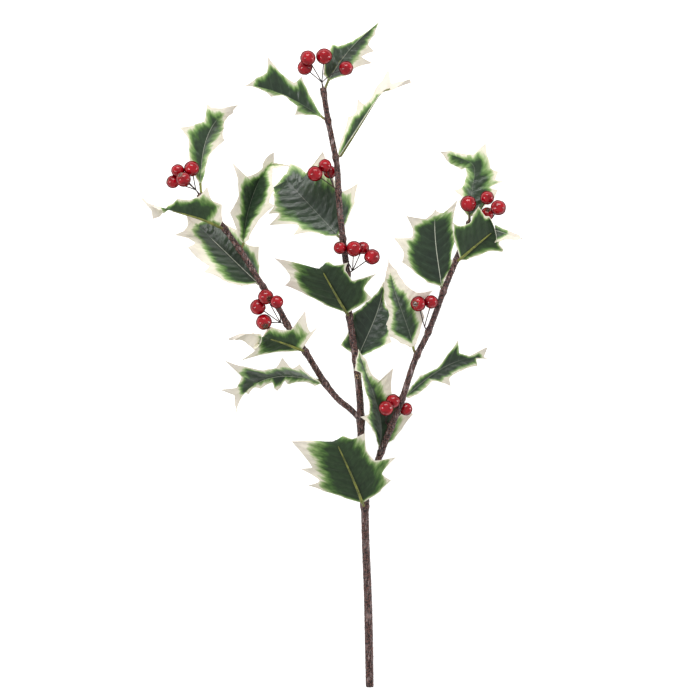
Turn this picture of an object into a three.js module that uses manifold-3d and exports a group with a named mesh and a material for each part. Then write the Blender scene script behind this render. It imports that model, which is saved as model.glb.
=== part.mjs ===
import * as THREE from 'three';
import Module from 'manifold-3d';
import { mergeVertices } from 'three/addons/utils/BufferGeometryUtils.js';

// A variegated holly spray of artificial leaves, lying on its back on a table.
// Sizes are in mm and angles in degrees. While it is built, the cut end of the main stem is the
// start of the plan: +Y runs up the main stem, +X to the right and +Z up from the table.

const wasm = await Module();
wasm.setup();

const bladeThickness = 0.6;
const ribDepth = 1.2;
const ribHalfWidth = 1.2;
const stalkRadius = 1;
const stalkDepth = 1.4;
const bladeFootHalfWidth = 1.4;
const tipHalfWidth = 0.4;
const socketRadius = 1.7;
const socketDepth = 0.9;
const socketLength = 9;
const seatGap = 0.3;
const stemSides = 8;
const stemRingStep = 14;
const nodeSwell = 0.6;
const nodeSwellLength = 3.5;
const pegRadius = 1.7;
const pegLength = 3.5;
const stubRadius = 3.4;
const rodSides = 8;
const shankRadius = 0.9;
const shankLength = 5;
const wireRadius = 0.5;
const wireSides = 5;
const wireSteps = 5;

const looks = {
  stem: { color: 0x5a3c37, roughness: 0.75, metalness: 0 },
  leaf: { color: 0x3d5a35, roughness: 0.5, metalness: 0 },
  wire: { color: 0x2c2320, roughness: 0.55, metalness: 0.6 },
  berry: { color: 0xa81220, roughness: 0.15, metalness: 0 },
};

// Each stem: the radius at its foot and tip, and the route of its centre line. A branch plugs into
// the end of a stub on the stem that it joins.
const stems = {
  main_stem: {
    radius: [4, 2.4],
    route: [[0, 0, 1.6], [-2, 88, 5], [-4, 148, 8], [-4, 182, 10], [-7, 254, 14], [-8, 288, 17],
      [-11, 318, 19], [-15, 348, 21], [-19, 375, 24], [-21, 416, 25], [-25, 448, 27], [-29, 488, 28],
      [-31, 522, 29], [-36, 548, 30], [-40, 568, 31], [-45, 600, 32]],
  },
  left_branch: {
    radius: [3, 2.3],
    joins: 'main_stem',
    stub: 8,
    route: [[-9, 270, 16], [-19, 280, 17], [-28, 287, 17], [-41, 302, 18], [-63, 337, 22], [-80, 362, 24],
      [-89, 379, 24], [-104, 400, 25], [-128, 438, 27], [-149, 467, 27], [-169, 494, 27]],
  },
  right_branch: {
    radius: [3, 2.3],
    joins: 'main_stem',
    stub: 19,
    route: [[-4, 190, 10], [4, 211, 12], [12, 233, 14], [21, 256, 18], [34, 289, 24], [47, 328, 25],
      [59, 353, 26], [65, 368, 26], [76, 398, 27], [91, 427, 27], [102, 467, 26]],
  },
};

// Each leaf: where its stalk leaves the stem (distance up the plan), how far the start of the stalk is
// shifted from there, and the stalk's and blade's lengths. Heading, rise and roll are the midrib's
// direction in plan, its slope and the blade's turn about it, at the foot, middle and tip; a roll near
// 180 shows the back. Fold lifts the left and right halves and lean slants their ribs to the tip.
// Twist and tuck turn the blade's end about or over the midrib: [where, over what length, how far].
// Left and right list the spines: [rib root, reach], and where given the hollow after it as two more.
const leaves = {
  leaf_main_1: {
    stem: 'main_stem', at: 594, shift: [1.5, 6, 0], stalk: 8, length: 80,
    heading: [68, 50, 32], rise: [-8, -3, 0], roll: [-10, -5, 0], fold: [-50, -48], lean: [0.3, 0.3],
    left: [[8, 12], [26, 22, 32, 15], [44, 11, 48, 9], [62, 6, 64, 5]],
    right: [[8, 12], [34, 36], [48, 28], [71, 24]],
  },
  leaf_main_2: {
    stem: 'main_stem', at: 567, shift: [-1, 0, 0], stalk: 12, length: 88,
    heading: [138, 142, 238], rise: [-10, 4, 16], roll: [20, 25, 25], fold: [-25, -15], lean: [0.2, 0.4],
    left: [[10, 26, 16, 16], [29, 23, 35, 19], [40, 32, 49, 27], [69, 22, 71, 15]],
    right: [[17, 6], [31, 13, 40, 3], [62, 15, 63, 4], [72, 3]],
  },
  leaf_main_3: {
    stem: 'main_stem', at: 530, shift: [2, 0, 1], stalk: 8, length: 98,
    heading: [60, 60, -16], rise: [10, 2, 0], roll: [50, 50, 15], fold: [15, 28], lean: [0.3, 0.3],
    left: [[10, 8], [31, 9, 35, 5], [49, 12, 55, 2], [79, 18, 81, 4]],
    right: [[12, 14], [30, 22], [54, 20], [72, 12]],
  },
  leaf_main_4: {
    stem: 'main_stem', at: 449, shift: [-2, 0, -4], stalk: 5, length: 96,
    heading: [122, 136, 200], rise: [-20, -8, -35], roll: [-12, -8, -12], fold: [8, -4], lean: [0.2, 0.3],
    left: [[6, 18, 10, 22], [13, 36, 26, 27], [47, 50, 50, 29], [80, 30, 84, 16]],
    right: [[3, 14, 6, 17], [9, 22, 20, 29], [24, 42, 34, 23], [54, 44, 60, 17], [71, 25, 73, 10]],
  },
  leaf_main_5: {
    stem: 'main_stem', at: 371, shift: [0, 0, 3], stalk: 5, length: 72,
    heading: [121, 120, 116], rise: [25, 22, 20], roll: [200, 195, 195], fold: [0, 14], lean: [0, 0.8],
    tuck: [56, 8, -160],
    left: [[7, 31, 15, 26], [25, 49, 30, 22], [48, 22, 52, 12]],
    right: [[18, 45, 26, 35], [50, 39, 52, 18]],
  },
  leaf_main_6: {
    stem: 'main_stem', at: 328, shift: [1, 0, -4], stalk: 4, length: 90,
    heading: [62, 68, 122], rise: [-15, -8, 0], roll: [8, 10, 10], fold: [12, 4], lean: [0, 0.3],
    left: [[3, 21, 8, 19], [16, 25, 26, 22], [44, 26], [66, 16]],
    right: [[6, 10], [30, 16, 41, 7], [53, 8, 60, 2], [64, 2]],
  },
  leaf_main_7: {
    stem: 'main_stem', at: 181, shift: [-1, 0, 5], stalk: 5, length: 90,
    heading: [109, 114, 116], rise: [28, 22, 20], roll: [186, 184, 180], fold: [0, 4], lean: [0.2, 0.6],
    tuck: [74, 10, -160],
    left: [[2, 21, 5, 19], [8, 34, 17, 29], [26, 50, 33, 28], [61, 29, 63, 15]],
    right: [[10, 38, 20, 31], [31, 43, 36, 32], [66, 37, 68, 23]],
  },
  leaf_left_1: {
    stem: 'left_branch', at: 488, shift: [-3, 9, 0], stalk: 7, length: 94,
    heading: [82, 73, 5], rise: [-10, -5, 5], roll: [-15, -20, -15], fold: [-12, -30], lean: [0.3, 0.3],
    left: [[18, 13, 28, 15], [43, 28, 54, 10], [70, 18, 74, 9], [78, 6]],
    right: [[10, 5], [34, 11, 38, 15], [48, 27, 56, 17], [76, 5]],
  },
  leaf_left_2: {
    stem: 'left_branch', at: 466, shift: [-2, 0, 3], stalk: 4, length: 72,
    heading: [168, 168, 160], rise: [12, 8, -5], roll: [195, 195, 190], fold: [12, 82], lean: [-0.1, 0.2],
    twist: [50, 10, -165],
    left: [[2, 17, 4, 17], [18, 33, 20, 20], [40, 14, 42, 8], [60, 14]],
    right: [[10, 8], [26, 12], [42, 7], [56, 10]],
  },
  leaf_left_3: {
    stem: 'left_branch', at: 401, shift: [-1, 0, -4], stalk: 5, length: 103,
    heading: [138, 136, 142], rise: [-10, -12, -12], roll: [-15, -20, -20], fold: [30, 0], lean: [0.35, 0.35],
    left: [[11, 28, 18, 31], [28, 41, 36, 30], [59, 37, 64, 24], [84, 27, 87, 13]],
    right: [[8, 12], [19, 28, 30, 22], [48, 21, 60, 18], [73, 14, 84, 11]],
  },
  leaf_left_4: {
    stem: 'left_branch', at: 439, shift: [4, 0, 0], stalk: 6, length: 102,
    heading: [86, 72, -4], rise: [15, 8, -5], roll: [10, 5, 10], fold: [45, 40], lean: [0.4, 0.4],
    left: [[8, 10], [27, 14, 38, 4], [60, 30, 62, 7], [88, 17, 90, 2]],
    right: [[8, 8], [13, 18, 22, 17], [28, 45, 40, 27], [80, 10, 84, 5]],
  },
  leaf_left_5: {
    stem: 'left_branch', at: 336, shift: [-2, 0, 3], stalk: 5, length: 76,
    heading: [156, 166, 184], rise: [15, 10, -5], roll: [190, 190, 190], fold: [5, 30], lean: [-0.2, 0.3],
    twist: [40, 10, -150],
    left: [[2, 24, 5, 21], [20, 37, 22, 13], [34, 13, 38, 4], [60, 34]],
    right: [[8, 14], [22, 22], [36, 24], [56, 14]],
  },
  leaf_left_6: {
    stem: 'left_branch', at: 304, shift: [-2, 0, 0], stalk: 10, length: 104,
    heading: [170, 182, 274], rise: [10, 5, -5], roll: [95, 25, 0], fold: [25, 25], lean: [0.2, 0.3],
    left: [[16, 8], [32, 17, 43, 8], [72, 12, 74, 6], [84, 4]],
    right: [[10, 12], [31, 30, 44, 4], [66, 36, 67, 10], [82, 16, 84, 3]],
  },
  leaf_right_1: {
    stem: 'right_branch', at: 465, shift: [0, 2, 0], stalk: 5, length: 90,
    heading: [92, 94, 195], rise: [-25, -12, 5], roll: [-5, 0, 0], fold: [-15, -8], lean: [0.3, 0.3],
    left: [[10, 9], [19, 21, 27, 15], [38, 15, 45, 12], [84, 18]],
    right: [[4, 22, 14, 20], [36, 23, 39, 14], [44, 18, 48, 11], [59, 17, 61, 3]],
  },
  leaf_right_2: {
    stem: 'right_branch', at: 428, shift: [1, 0, 3], stalk: 6, length: 70,
    heading: [44, 40, -74], rise: [20, 10, -10], roll: [180, 180, 175], fold: [10, 10], lean: [0.2, 0.6],
    twist: [46, 12, -150],
    left: [[8, 10], [16, 16], [20, 27, 24, 20], [56, 5]],
    right: [[5, 26, 15, 18], [32, 24, 37, 10], [52, 8]],
  },
  leaf_right_3: {
    stem: 'right_branch', at: 396, shift: [-1, 0, -4], stalk: 5, length: 80,
    heading: [97, 97, 84], rise: [10, 12, 10], roll: [-15, -20, -20], fold: [8, 10], lean: [0.35, 0.6],
    left: [[14, 32, 17, 29], [22, 38, 30, 32], [43, 47, 55, 22], [63, 30, 65, 8]],
    right: [[8, 6], [22, 18], [40, 22], [70, 23, 72, 10]],
  },
  leaf_right_4: {
    stem: 'right_branch', at: 333, shift: [-3, 0, 0], stalk: 8, length: 92,
    heading: [98, 110, 92], rise: [12, 0, -8], roll: [-15, -25, -30], fold: [15, 15], lean: [-0.1, 0.5],
    left: [[8, 10], [14, 27, 22, 18], [52, 13], [74, 8]],
    right: [[10, 14], [28, 34, 44, 17], [51, 17, 66, 8]],
  },
  leaf_right_5: {
    stem: 'right_branch', at: 289, shift: [0, 0, 0], stalk: 9, length: 102,
    heading: [40, 33, -32], rise: [-8, -5, 2], roll: [-35, -35, -35], fold: [-5, -8], lean: [0.3, 0.3],
    left: [[10, 6], [16, 10, 30, 2], [61, 18, 63, 4], [84, 6, 86, 2]],
    right: [[8, 8], [18, 8, 28, 9], [31, 29, 41, 19], [72, 20, 74, 14]],
  },
  leaf_right_6: {
    stem: 'right_branch', at: 236, shift: [-3, 0, -4], stalk: 5, length: 94,
    heading: [98, 96, 120], rise: [8, 12, 14], roll: [-8, -8, 0], fold: [45, -12], lean: [0.3, 0.4],
    left: [[8, 8], [28, 19, 36, 9], [59, 10, 60, 7], [79, 17, 81, 9]],
    right: [[2, 15], [15, 38, 41, 17], [61, 27, 64, 11], [78, 6]],
  },
};

// Each pick: where its shank leaves the stem, the way it points, and its berries as [x, y, z, radius]
// with any points that the wire passes on its way.
const picks = [
  {
    stem: 'main_stem', at: 599, leaves: [-0.2, 1, 0.3],
    berries: [{ at: [-60, 629, 45, 7] }, { at: [-44, 631, 38, 7.3] }, { at: [-63, 620, 32, 6.8] },
      { at: [-22, 619, 38, 6.5], via: [-36, 613, 40] }],
  },
  {
    stem: 'main_stem', at: 496, leaves: [-1, 1, 0.2],
    berries: [{ at: [-53, 514, 38, 7] }, { at: [-43, 522, 33, 6] }, { at: [-38, 516, 21, 6] }],
  },
  {
    stem: 'main_stem', at: 414, leaves: [1, 0.6, 0.5],
    berries: [{ at: [-28, 440, 38, 5.8], via: [-20, 426, 33] }, { at: [-14, 439, 38, 7.2] },
      { at: [-5, 440, 26, 5.8] }, { at: [4, 431, 36, 7.2] }],
  },
  {
    stem: 'left_branch', at: 493, leaves: [-0.6, 0.8, 0.4],
    berries: [{ at: [-176, 519, 36, 7] }, { at: [-190, 517, 33, 6] }, { at: [-195, 506, 29, 6] },
      { at: [-184, 508, 44, 6.8] }],
  },
  {
    stem: 'left_branch', at: 364, leaves: [-1, 0.2, 0.3],
    berries: [{ at: [-102, 391, 36, 7] }, { at: [-91, 386, 44, 6], via: [-88, 374, 35] },
      { at: [-110, 381, 28, 7.2] }, { at: [-104, 366, 30, 7.2] }],
  },
  {
    stem: 'right_branch', at: 456, leaves: [0.8, 0.6, 0.3],
    berries: [{ at: [100, 484, 36, 7.3] }, { at: [119, 490, 29, 6.3] },
      { at: [130, 480, 36, 7], via: [118, 482, 31] }, { at: [119, 474, 26, 6] }],
  },
  {
    stem: 'right_branch', at: 356, leaves: [-0.6, 0.8, 0.3],
    berries: [{ at: [50, 384, 41, 7] }, { at: [63, 386, 37, 6.2] }],
  },
  {
    stem: 'right_branch', at: 262, leaves: [-1, 0.5, 0.1],
    berries: [{ at: [18, 280, 40, 6.8] }, { at: [25, 287, 31, 6.5] },
      { at: [38, 279, 17, 6], via: [24, 266, 14] }],
  },
];

const radians = THREE.MathUtils.degToRad;
const vector = (values) => new THREE.Vector3(...values);
const mix = (from, to, share) => from + (to - from) * share;

// The value at a share of the way along, given the values at the start, middle and end.
function along([start, middle, end], share) {
  return start * (1 - share) * (1 - 2 * share) + middle * 4 * share * (1 - share)
    + end * share * (2 * share - 1);
}

function easeInOut(share) {
  const clipped = THREE.MathUtils.clamp(share, 0, 1);
  return clipped * clipped * (3 - 2 * clipped);
}

// A closed skin over rings that all have the same number of points.
function loft(rings) {
  const sides = rings[0].length;
  const faces = [];
  for (let row = 0; row + 1 < rings.length; row += 1) {
    for (let side = 0; side < sides; side += 1) {
      const here = row * sides + side;
      const next = row * sides + ((side + 1) % sides);
      faces.push(here, next, next + sides, here, next + sides, here + sides);
    }
  }
  const last = (rings.length - 1) * sides;
  for (let side = 1; side + 1 < sides; side += 1) {
    faces.push(0, side + 1, side, last, last + side, last + side + 1);
  }
  const geometry = new THREE.BufferGeometry().setFromPoints(rings.flat());
  geometry.setIndex(faces);
  return faceOut(geometry);
}

// Turns the faces over where the skin encloses a negative volume.
function faceOut(geometry) {
  const index = geometry.index.array;
  const corners = [new THREE.Vector3(), new THREE.Vector3(), new THREE.Vector3()];
  let volume = 0;
  for (let face = 0; face < index.length; face += 3) {
    corners.forEach((corner, i) => {
      corner.fromBufferAttribute(geometry.attributes.position, index[face + i]);
    });
    volume += corners[0].dot(corners[1].clone().cross(corners[2])) / 6;
  }
  if (volume < 0) {
    index.reverse();
  }
  return geometry;
}

function toSolid(geometry) {
  const bare = geometry.clone();
  bare.deleteAttribute('normal');
  bare.deleteAttribute('uv');
  const merged = mergeVertices(bare);
  const vertProperties = Float32Array.from(merged.attributes.position.array);
  const triVerts = Uint32Array.from(merged.index.array);
  return new wasm.Manifold(new wasm.Mesh({ numProp: 3, vertProperties, triVerts }));
}

function toGeometry(solid) {
  const mesh = solid.getMesh();
  const geometry = new THREE.BufferGeometry();
  geometry.setAttribute('position', new THREE.BufferAttribute(Float32Array.from(mesh.vertProperties), 3));
  geometry.setIndex(Array.from(mesh.triVerts));
  return geometry;
}

function rod(start, way, length, radius, sides) {
  const geometry = new THREE.CylinderGeometry(radius, radius, length, sides);
  geometry.translate(0, length / 2, 0);
  geometry.applyQuaternion(new THREE.Quaternion().setFromUnitVectors(new THREE.Vector3(0, 1, 0), way));
  geometry.translate(start.x, start.y, start.z);
  return toSolid(geometry);
}

// ---- stems ----

const stemCurves = Object.fromEntries(
  Object.entries(stems).map(([name, stem]) => [name, new THREE.CatmullRomCurve3(stem.route.map(vector))]),
);

// The share of a stem's length at which its centre line is a given distance up the plan.
function shareAt(name, distance) {
  let low = 0;
  let high = 1;
  while (high - low > 1e-5) {
    const middle = (low + high) / 2;
    if (stemCurves[name].getPointAt(middle).y < distance) {
      low = middle;
    } else {
      high = middle;
    }
  }
  return low;
}

function pointOn(name, distance) {
  return stemCurves[name].getPointAt(shareAt(name, distance));
}

function circleAbout(centre, way, radius, sides) {
  const across = new THREE.Vector3(-way.y, way.x, 0).normalize();
  const up = way.clone().cross(across).negate();
  return Array.from({ length: sides }, (_, side) => {
    const angle = ((side + 0.5) / sides) * 2 * Math.PI;
    return centre.clone()
      .addScaledVector(across, radius * Math.cos(angle))
      .addScaledVector(up, radius * Math.sin(angle));
  });
}

// Where leaves, picks and branches leave a stem, as distances along its length.
function nodesOf(name) {
  const length = stemCurves[name].getLength();
  const users = [...Object.values(leaves), ...picks].filter((user) => user.stem === name);
  return users.map((user) => shareAt(name, user.at) * length);
}

function stemGeometry(name) {
  const stem = stems[name];
  const curve = stemCurves[name];
  const length = curve.getLength();
  const nodes = nodesOf(name);
  const start = stem.joins ? stem.stub + seatGap : 0;
  const stops = new Set([start, length]);
  for (let distance = start; distance < length; distance += stemRingStep) {
    stops.add(distance);
  }
  for (const node of nodes) {
    [-nodeSwellLength, 0, nodeSwellLength].forEach((offset) => stops.add(node + offset));
  }
  const sorted = [...stops].filter((stop) => stop >= start && stop <= length).sort((a, b) => a - b);
  const spaced = sorted.filter((stop, i) => i === 0 || stop === length || stop - sorted[i - 1] > 1.2);
  const rings = spaced.map((stop) => {
    const share = stop / length;
    const nearest = Math.min(...nodes.map((node) => Math.abs(node - stop)));
    const swell = nodeSwell * Math.exp(-((nearest / nodeSwellLength) ** 2) * 2);
    const radius = mix(stem.radius[0], stem.radius[1], share) + swell;
    return circleAbout(curve.getPointAt(share), curve.getTangentAt(share), radius, stemSides);
  });
  if (stem.joins) {
    const peg = [start - pegLength, start].map((stop) => {
      const share = stop / length;
      return circleAbout(curve.getPointAt(share), curve.getTangentAt(share), pegRadius, stemSides);
    });
    rings.unshift(...peg);
  }
  return loft(rings);
}

function stemWithSockets(name) {
  let solid = toSolid(stemGeometry(name));
  for (const [branch, stem] of Object.entries(stems)) {
    if (stem.joins === name) {
      const way = stemCurves[branch].getTangentAt(0);
      const start = stemCurves[branch].getPointAt(0);
      solid = solid.add(rod(start, way, stem.stub, stubRadius, stemSides));
      const mouth = start.clone().addScaledVector(way, stem.stub - pegLength);
      solid = solid.subtract(rod(mouth, way, stem.stub, pegRadius + 2 * seatGap, stemSides));
    }
  }
  for (const leaf of Object.values(leaves).filter((one) => one.stem === name)) {
    const stalk = stalkOf(leaf);
    const bottom = stalk.root.addScaledVector(stalk.way, socketDepth);
    solid = solid.subtract(rod(bottom, stalk.way, socketLength, socketRadius, rodSides));
  }
  for (const pick of picks.filter((one) => one.stem === name)) {
    const way = vector(pick.leaves).normalize();
    const root = pointOn(name, pick.at).addScaledVector(way, socketDepth);
    solid = solid.subtract(rod(root, way, shankLength, shankRadius + seatGap + 0.1, rodSides));
  }
  return toGeometry(solid);
}

// ---- leaves ----

function directionAt(leaf, distance) {
  const share = (leaf.stalk + distance) / (leaf.stalk + leaf.length);
  const heading = radians(along(leaf.heading, share));
  let rise = along(leaf.rise, share);
  let roll = along(leaf.roll, share);
  if (leaf.tuck) {
    rise += leaf.tuck[2] * easeInOut((distance - leaf.tuck[0]) / leaf.tuck[1] + 0.5);
  }
  if (leaf.twist) {
    roll += leaf.twist[2] * easeInOut((distance - leaf.twist[0]) / leaf.twist[1] + 0.5);
  }
  rise = radians(rise);
  roll = radians(roll);
  const side = new THREE.Vector3(-Math.sin(heading), Math.cos(heading), 0);
  const flat = new THREE.Vector3(Math.cos(heading), Math.sin(heading), 0);
  const way = flat.clone().multiplyScalar(Math.cos(rise)).setZ(Math.sin(rise));
  const up = flat.clone().multiplyScalar(-Math.sin(rise)).setZ(Math.cos(rise));
  const left = side.clone().multiplyScalar(Math.cos(roll)).addScaledVector(up, -Math.sin(roll));
  const front = up.clone().multiplyScalar(Math.cos(roll)).addScaledVector(side, Math.sin(roll));
  return { way, left, front };
}

// The stalk: a bend from the stem's centre line to the foot of the blade.
function stalkOf(leaf) {
  const root = pointOn(leaf.stem, leaf.at);
  const { way } = directionAt(leaf, 0);
  const start = directionAt(leaf, -leaf.stalk).way;
  const foot = root.clone().add(vector(leaf.shift)).addScaledVector(start, leaf.stalk);
  const knee = foot.clone().addScaledVector(way, -0.5 * foot.distanceTo(root));
  return { root, foot, knee, way: knee.clone().sub(root).normalize() };
}

// Half the blade's outline, as [rib root, reach] at each spine and hollow in turn.
function outlineOf(leaf, spines) {
  const points = [[0, bladeFootHalfWidth]];
  spines.forEach(([root, reach, hollowRoot, hollowReach], i) => {
    points.push([root, reach]);
    const next = spines[i + 1];
    if (hollowRoot !== undefined) {
      points.push([hollowRoot, hollowReach]);
    } else if (next) {
      points.push([mix(root, next[0], 0.4), 0.66 * Math.min(reach, next[1])]);
    } else {
      points.push([mix(root, leaf.length, 0.3), 0.35 * reach]);
    }
  });
  points.push([leaf.length, tipHalfWidth]);
  return points;
}

// The blade's half width at a rib root: full up to the first spine, and hollow between spines.
function reachAt(outline, root) {
  const next = Math.max(1, outline.findIndex((point) => point[0] >= root));
  const from = outline[next - 1];
  const to = outline[next];
  const share = (root - from[0]) / (to[0] - from[0]);
  if (to[1] > from[1]) {
    return mix(from[1], to[1], share ** (next === 1 ? 0.8 : 1.5));
  }
  return mix(to[1], from[1], (1 - share) ** 1.8);
}

function leafGeometry(leaf) {
  const outlines = [outlineOf(leaf, leaf.left), outlineOf(leaf, leaf.right)];
  const stops = new Set(outlines.flat().map((point) => Math.round(point[0])));
  for (let distance = 0; distance < leaf.length; distance += 12) {
    stops.add(distance);
  }
  const turn = leaf.tuck ?? leaf.twist;
  for (let step = -3; turn && step <= 3; step += 1) {
    stops.add(turn[0] + Math.round((turn[1] * step) / 6));
  }
  const rows = [...stops].sort((a, b) => a - b).filter((stop) => stop < leaf.length);
  rows.push(leaf.length);

  const stalk = stalkOf(leaf);
  const rings = [];
  const bend = new THREE.QuadraticBezierCurve3(
    stalk.root.clone().addScaledVector(stalk.way, stalkDepth), stalk.knee, stalk.foot,
  );
  for (const share of [0, 0.35, 0.65]) {
    rings.push(stalkRing(leaf, bend.getPoint(share), bend.getTangent(share)));
  }

  const centre = stalk.foot.clone();
  let reached = 0;
  for (const row of rows) {
    while (reached < row) {
      centre.addScaledVector(directionAt(leaf, reached + 0.25).way, 0.5);
      reached += 0.5;
    }
    rings.push(bladeRing(leaf, row, centre, outlines));
  }
  return loft(rings);
}

function stalkRing(leaf, centre, way) {
  const front = directionAt(leaf, 0).front;
  const left = front.clone().cross(way).normalize();
  const up = way.clone().cross(left).normalize();
  return [157, 90, 23, -23, -60, -90, -120, -157].map((degrees) => centre.clone()
    .addScaledVector(left, -stalkRadius * Math.cos(radians(degrees)))
    .addScaledVector(up, stalkRadius * Math.sin(radians(degrees))));
}

// One cross-section: the front's left edge, crease and right edge, then the back with its raised rib.
function bladeRing(leaf, row, centre, outlines) {
  const { way, left, front } = directionAt(leaf, row);
  const half = bladeThickness / 2;
  const depth = mix(ribDepth, half + 0.2, Math.max(0, row / leaf.length));
  const at = (side, reach, lift) => {
    const fold = radians(leaf.fold[side]);
    const sign = side === 0 ? 1 : -1;
    return centre.clone()
      .addScaledVector(way, leaf.lean[side] * reach)
      .addScaledVector(left, sign * (reach * Math.cos(fold) - lift * Math.sin(fold)))
      .addScaledVector(front, reach * Math.sin(fold) + lift * Math.cos(fold));
  };
  const reaches = outlines.map((outline) => reachAt(outline, row));
  const ribs = reaches.map((reach) => Math.min(ribHalfWidth, reach * 0.8));
  return [
    at(0, reaches[0], half),
    centre.clone().addScaledVector(front, half),
    at(1, reaches[1], half),
    at(1, reaches[1], -half),
    at(1, ribs[1], -half),
    centre.clone().addScaledVector(front, -depth),
    at(0, ribs[0], -half),
    at(0, reaches[0], -half),
  ];
}

// ---- berries and their wires ----

function pickGeometry(pick) {
  const way = vector(pick.leaves).normalize();
  const root = pointOn(pick.stem, pick.at);
  const foot = root.clone().addScaledVector(way, shankLength);
  const shankStart = root.clone().addScaledVector(way, stalkDepth);
  let solid = rod(shankStart, way, shankLength - stalkDepth + 0.4, shankRadius, rodSides);
  for (const berry of pick.berries) {
    const middle = vector(berry.at.slice(0, 3));
    const route = [foot.clone().addScaledVector(way, -0.6), foot.clone().addScaledVector(way, 1)];
    if (berry.via) {
      route.push(vector(berry.via));
    }
    const last = route[route.length - 1];
    const back = last.clone().sub(middle).normalize();
    route.push(middle.clone().addScaledVector(back, berry.at[3] + seatGap));
    solid = solid.add(wireSolid(route));
  }
  return toGeometry(solid);
}

function wireSolid(route) {
  const outline = new THREE.Shape();
  for (let side = 0; side < wireSides; side += 1) {
    const angle = (side / wireSides) * 2 * Math.PI;
    const point = [wireRadius * Math.cos(angle), wireRadius * Math.sin(angle)];
    if (side === 0) {
      outline.moveTo(...point);
    } else {
      outline.lineTo(...point);
    }
  }
  outline.closePath();
  const path = new THREE.CatmullRomCurve3(route, false, 'centripetal');
  const shape = { steps: wireSteps, bevelEnabled: false, extrudePath: path };
  return toSolid(new THREE.ExtrudeGeometry(outline, shape));
}

// ---- the spray ----

const spray = new THREE.Group();
spray.name = 'holly_spray';

function addPart(name, geometry, look) {
  const mesh = new THREE.Mesh(geometry, new THREE.MeshStandardMaterial({ ...looks[look], name: look }));
  mesh.name = name;
  spray.add(mesh);
}

for (const name of Object.keys(stems)) {
  addPart(name, stemWithSockets(name), 'stem');
}
for (const [name, leaf] of Object.entries(leaves)) {
  addPart(name, leafGeometry(leaf), 'leaf');
}
let berryNumber = 0;
picks.forEach((pick, i) => {
  addPart(`berry_pick_${i + 1}`, pickGeometry(pick), 'wire');
  for (const { at: [x, y, z, radius] } of pick.berries) {
    berryNumber += 1;
    addPart(`berry_${berryNumber}`, new THREE.IcosahedronGeometry(radius, 1).translate(x, y, z), 'berry');
  }
});

// The origin is the middle of the footprint, on the table.
const extent = new THREE.Box3().setFromObject(spray);
const middle = extent.getCenter(new THREE.Vector3());
for (const mesh of spray.children) {
  mesh.geometry.translate(-middle.x, -middle.y, -extent.min.z);
}

export default spray;
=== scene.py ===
import math
import bpy
import numpy as np
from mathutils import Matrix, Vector


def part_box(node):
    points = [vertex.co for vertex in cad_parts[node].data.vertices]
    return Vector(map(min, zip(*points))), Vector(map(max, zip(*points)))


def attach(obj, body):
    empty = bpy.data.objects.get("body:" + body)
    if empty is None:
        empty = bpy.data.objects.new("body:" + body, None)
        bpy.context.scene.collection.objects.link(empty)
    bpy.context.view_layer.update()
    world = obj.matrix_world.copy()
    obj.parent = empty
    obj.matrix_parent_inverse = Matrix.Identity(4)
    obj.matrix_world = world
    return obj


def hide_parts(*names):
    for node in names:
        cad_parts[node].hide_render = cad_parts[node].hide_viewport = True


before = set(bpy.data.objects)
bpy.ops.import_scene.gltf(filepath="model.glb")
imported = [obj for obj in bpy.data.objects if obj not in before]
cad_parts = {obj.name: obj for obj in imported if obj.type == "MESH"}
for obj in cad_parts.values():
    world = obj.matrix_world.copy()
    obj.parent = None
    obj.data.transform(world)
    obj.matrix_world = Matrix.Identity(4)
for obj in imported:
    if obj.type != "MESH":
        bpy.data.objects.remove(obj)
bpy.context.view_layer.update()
mm = 0.001
print("frame loaded:", len(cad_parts), "parts")

# Routes and leaves are laid out in a plan in millimetres: +Y runs up the main stem, +Z up from the table.
firstBerryPlan = Vector((-60, 629, 45))
lowCorner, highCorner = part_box("berry_1")
planOrigin = (lowCorner + highCorner) / 2 - firstBerryPlan * mm
tableHeight = -planOrigin.z / mm


def toFrame(points):
    return np.asarray(points, float) * mm + np.array(planOrigin)


building = {}  # holds the node tree that is being built


# Gives a socket a plain value or another node's output.
def feed(value, socket):
    if isinstance(value, bpy.types.NodeSocket):
        building["tree"].links.new(value, socket)
    else:
        socket.default_value = value


def addNode(kind, values=None, **settings):
    node = building["tree"].nodes.new(kind)
    for name, value in settings.items():
        setattr(node, name, value)
    for name, value in (values or {}).items():
        feed(value, node.inputs[name])
    return node


# A node group with the sockets of its start and its end.
def newTree(name, family, inputs, outputs):
    tree = building["tree"] = bpy.data.node_groups.new(name, family + "NodeTree")
    for label, (kind, value) in inputs.items():
        socket = tree.interface.new_socket(name=label, in_out="INPUT", socket_type="NodeSocket" + kind)
        if value is not None:
            socket.default_value = value
    for label, kind in outputs.items():
        tree.interface.new_socket(name=label, in_out="OUTPUT", socket_type="NodeSocket" + kind)
    return tree, addNode("NodeGroupInput").outputs, addNode("NodeGroupOutput").inputs


# One output of a shader or maths node.
def shade(kind, values=None, output=0, **settings):
    return addNode("ShaderNode" + kind, values, **settings).outputs[output]


# One output of a geometry node.
def grow(kind, values=None, output=0, **settings):
    return addNode("GeometryNode" + kind, values, **settings).outputs[output]


def calc(operation, *values, clamp=False):
    return shade("Math", dict(enumerate(values)), operation=operation, use_clamp=clamp)


def times(first, second, clamp=False):
    return calc("MULTIPLY", first, second, clamp=clamp)


def rescale(value, low, high, toLow=0.0, toHigh=1.0, kind="SMOOTHSTEP"):
    values = {"Value": value, "From Min": low, "From Max": high, "To Min": toLow, "To Max": toHigh}
    return shade("MapRange", values, "Result", interpolation_type=kind)


def noiseOf(vector, scale, detail=3, rough=0.55):
    values = {"Vector": vector, "Scale": scale, "Detail": detail, "Roughness": rough}
    return shade("TexNoise", values, "Fac")


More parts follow.
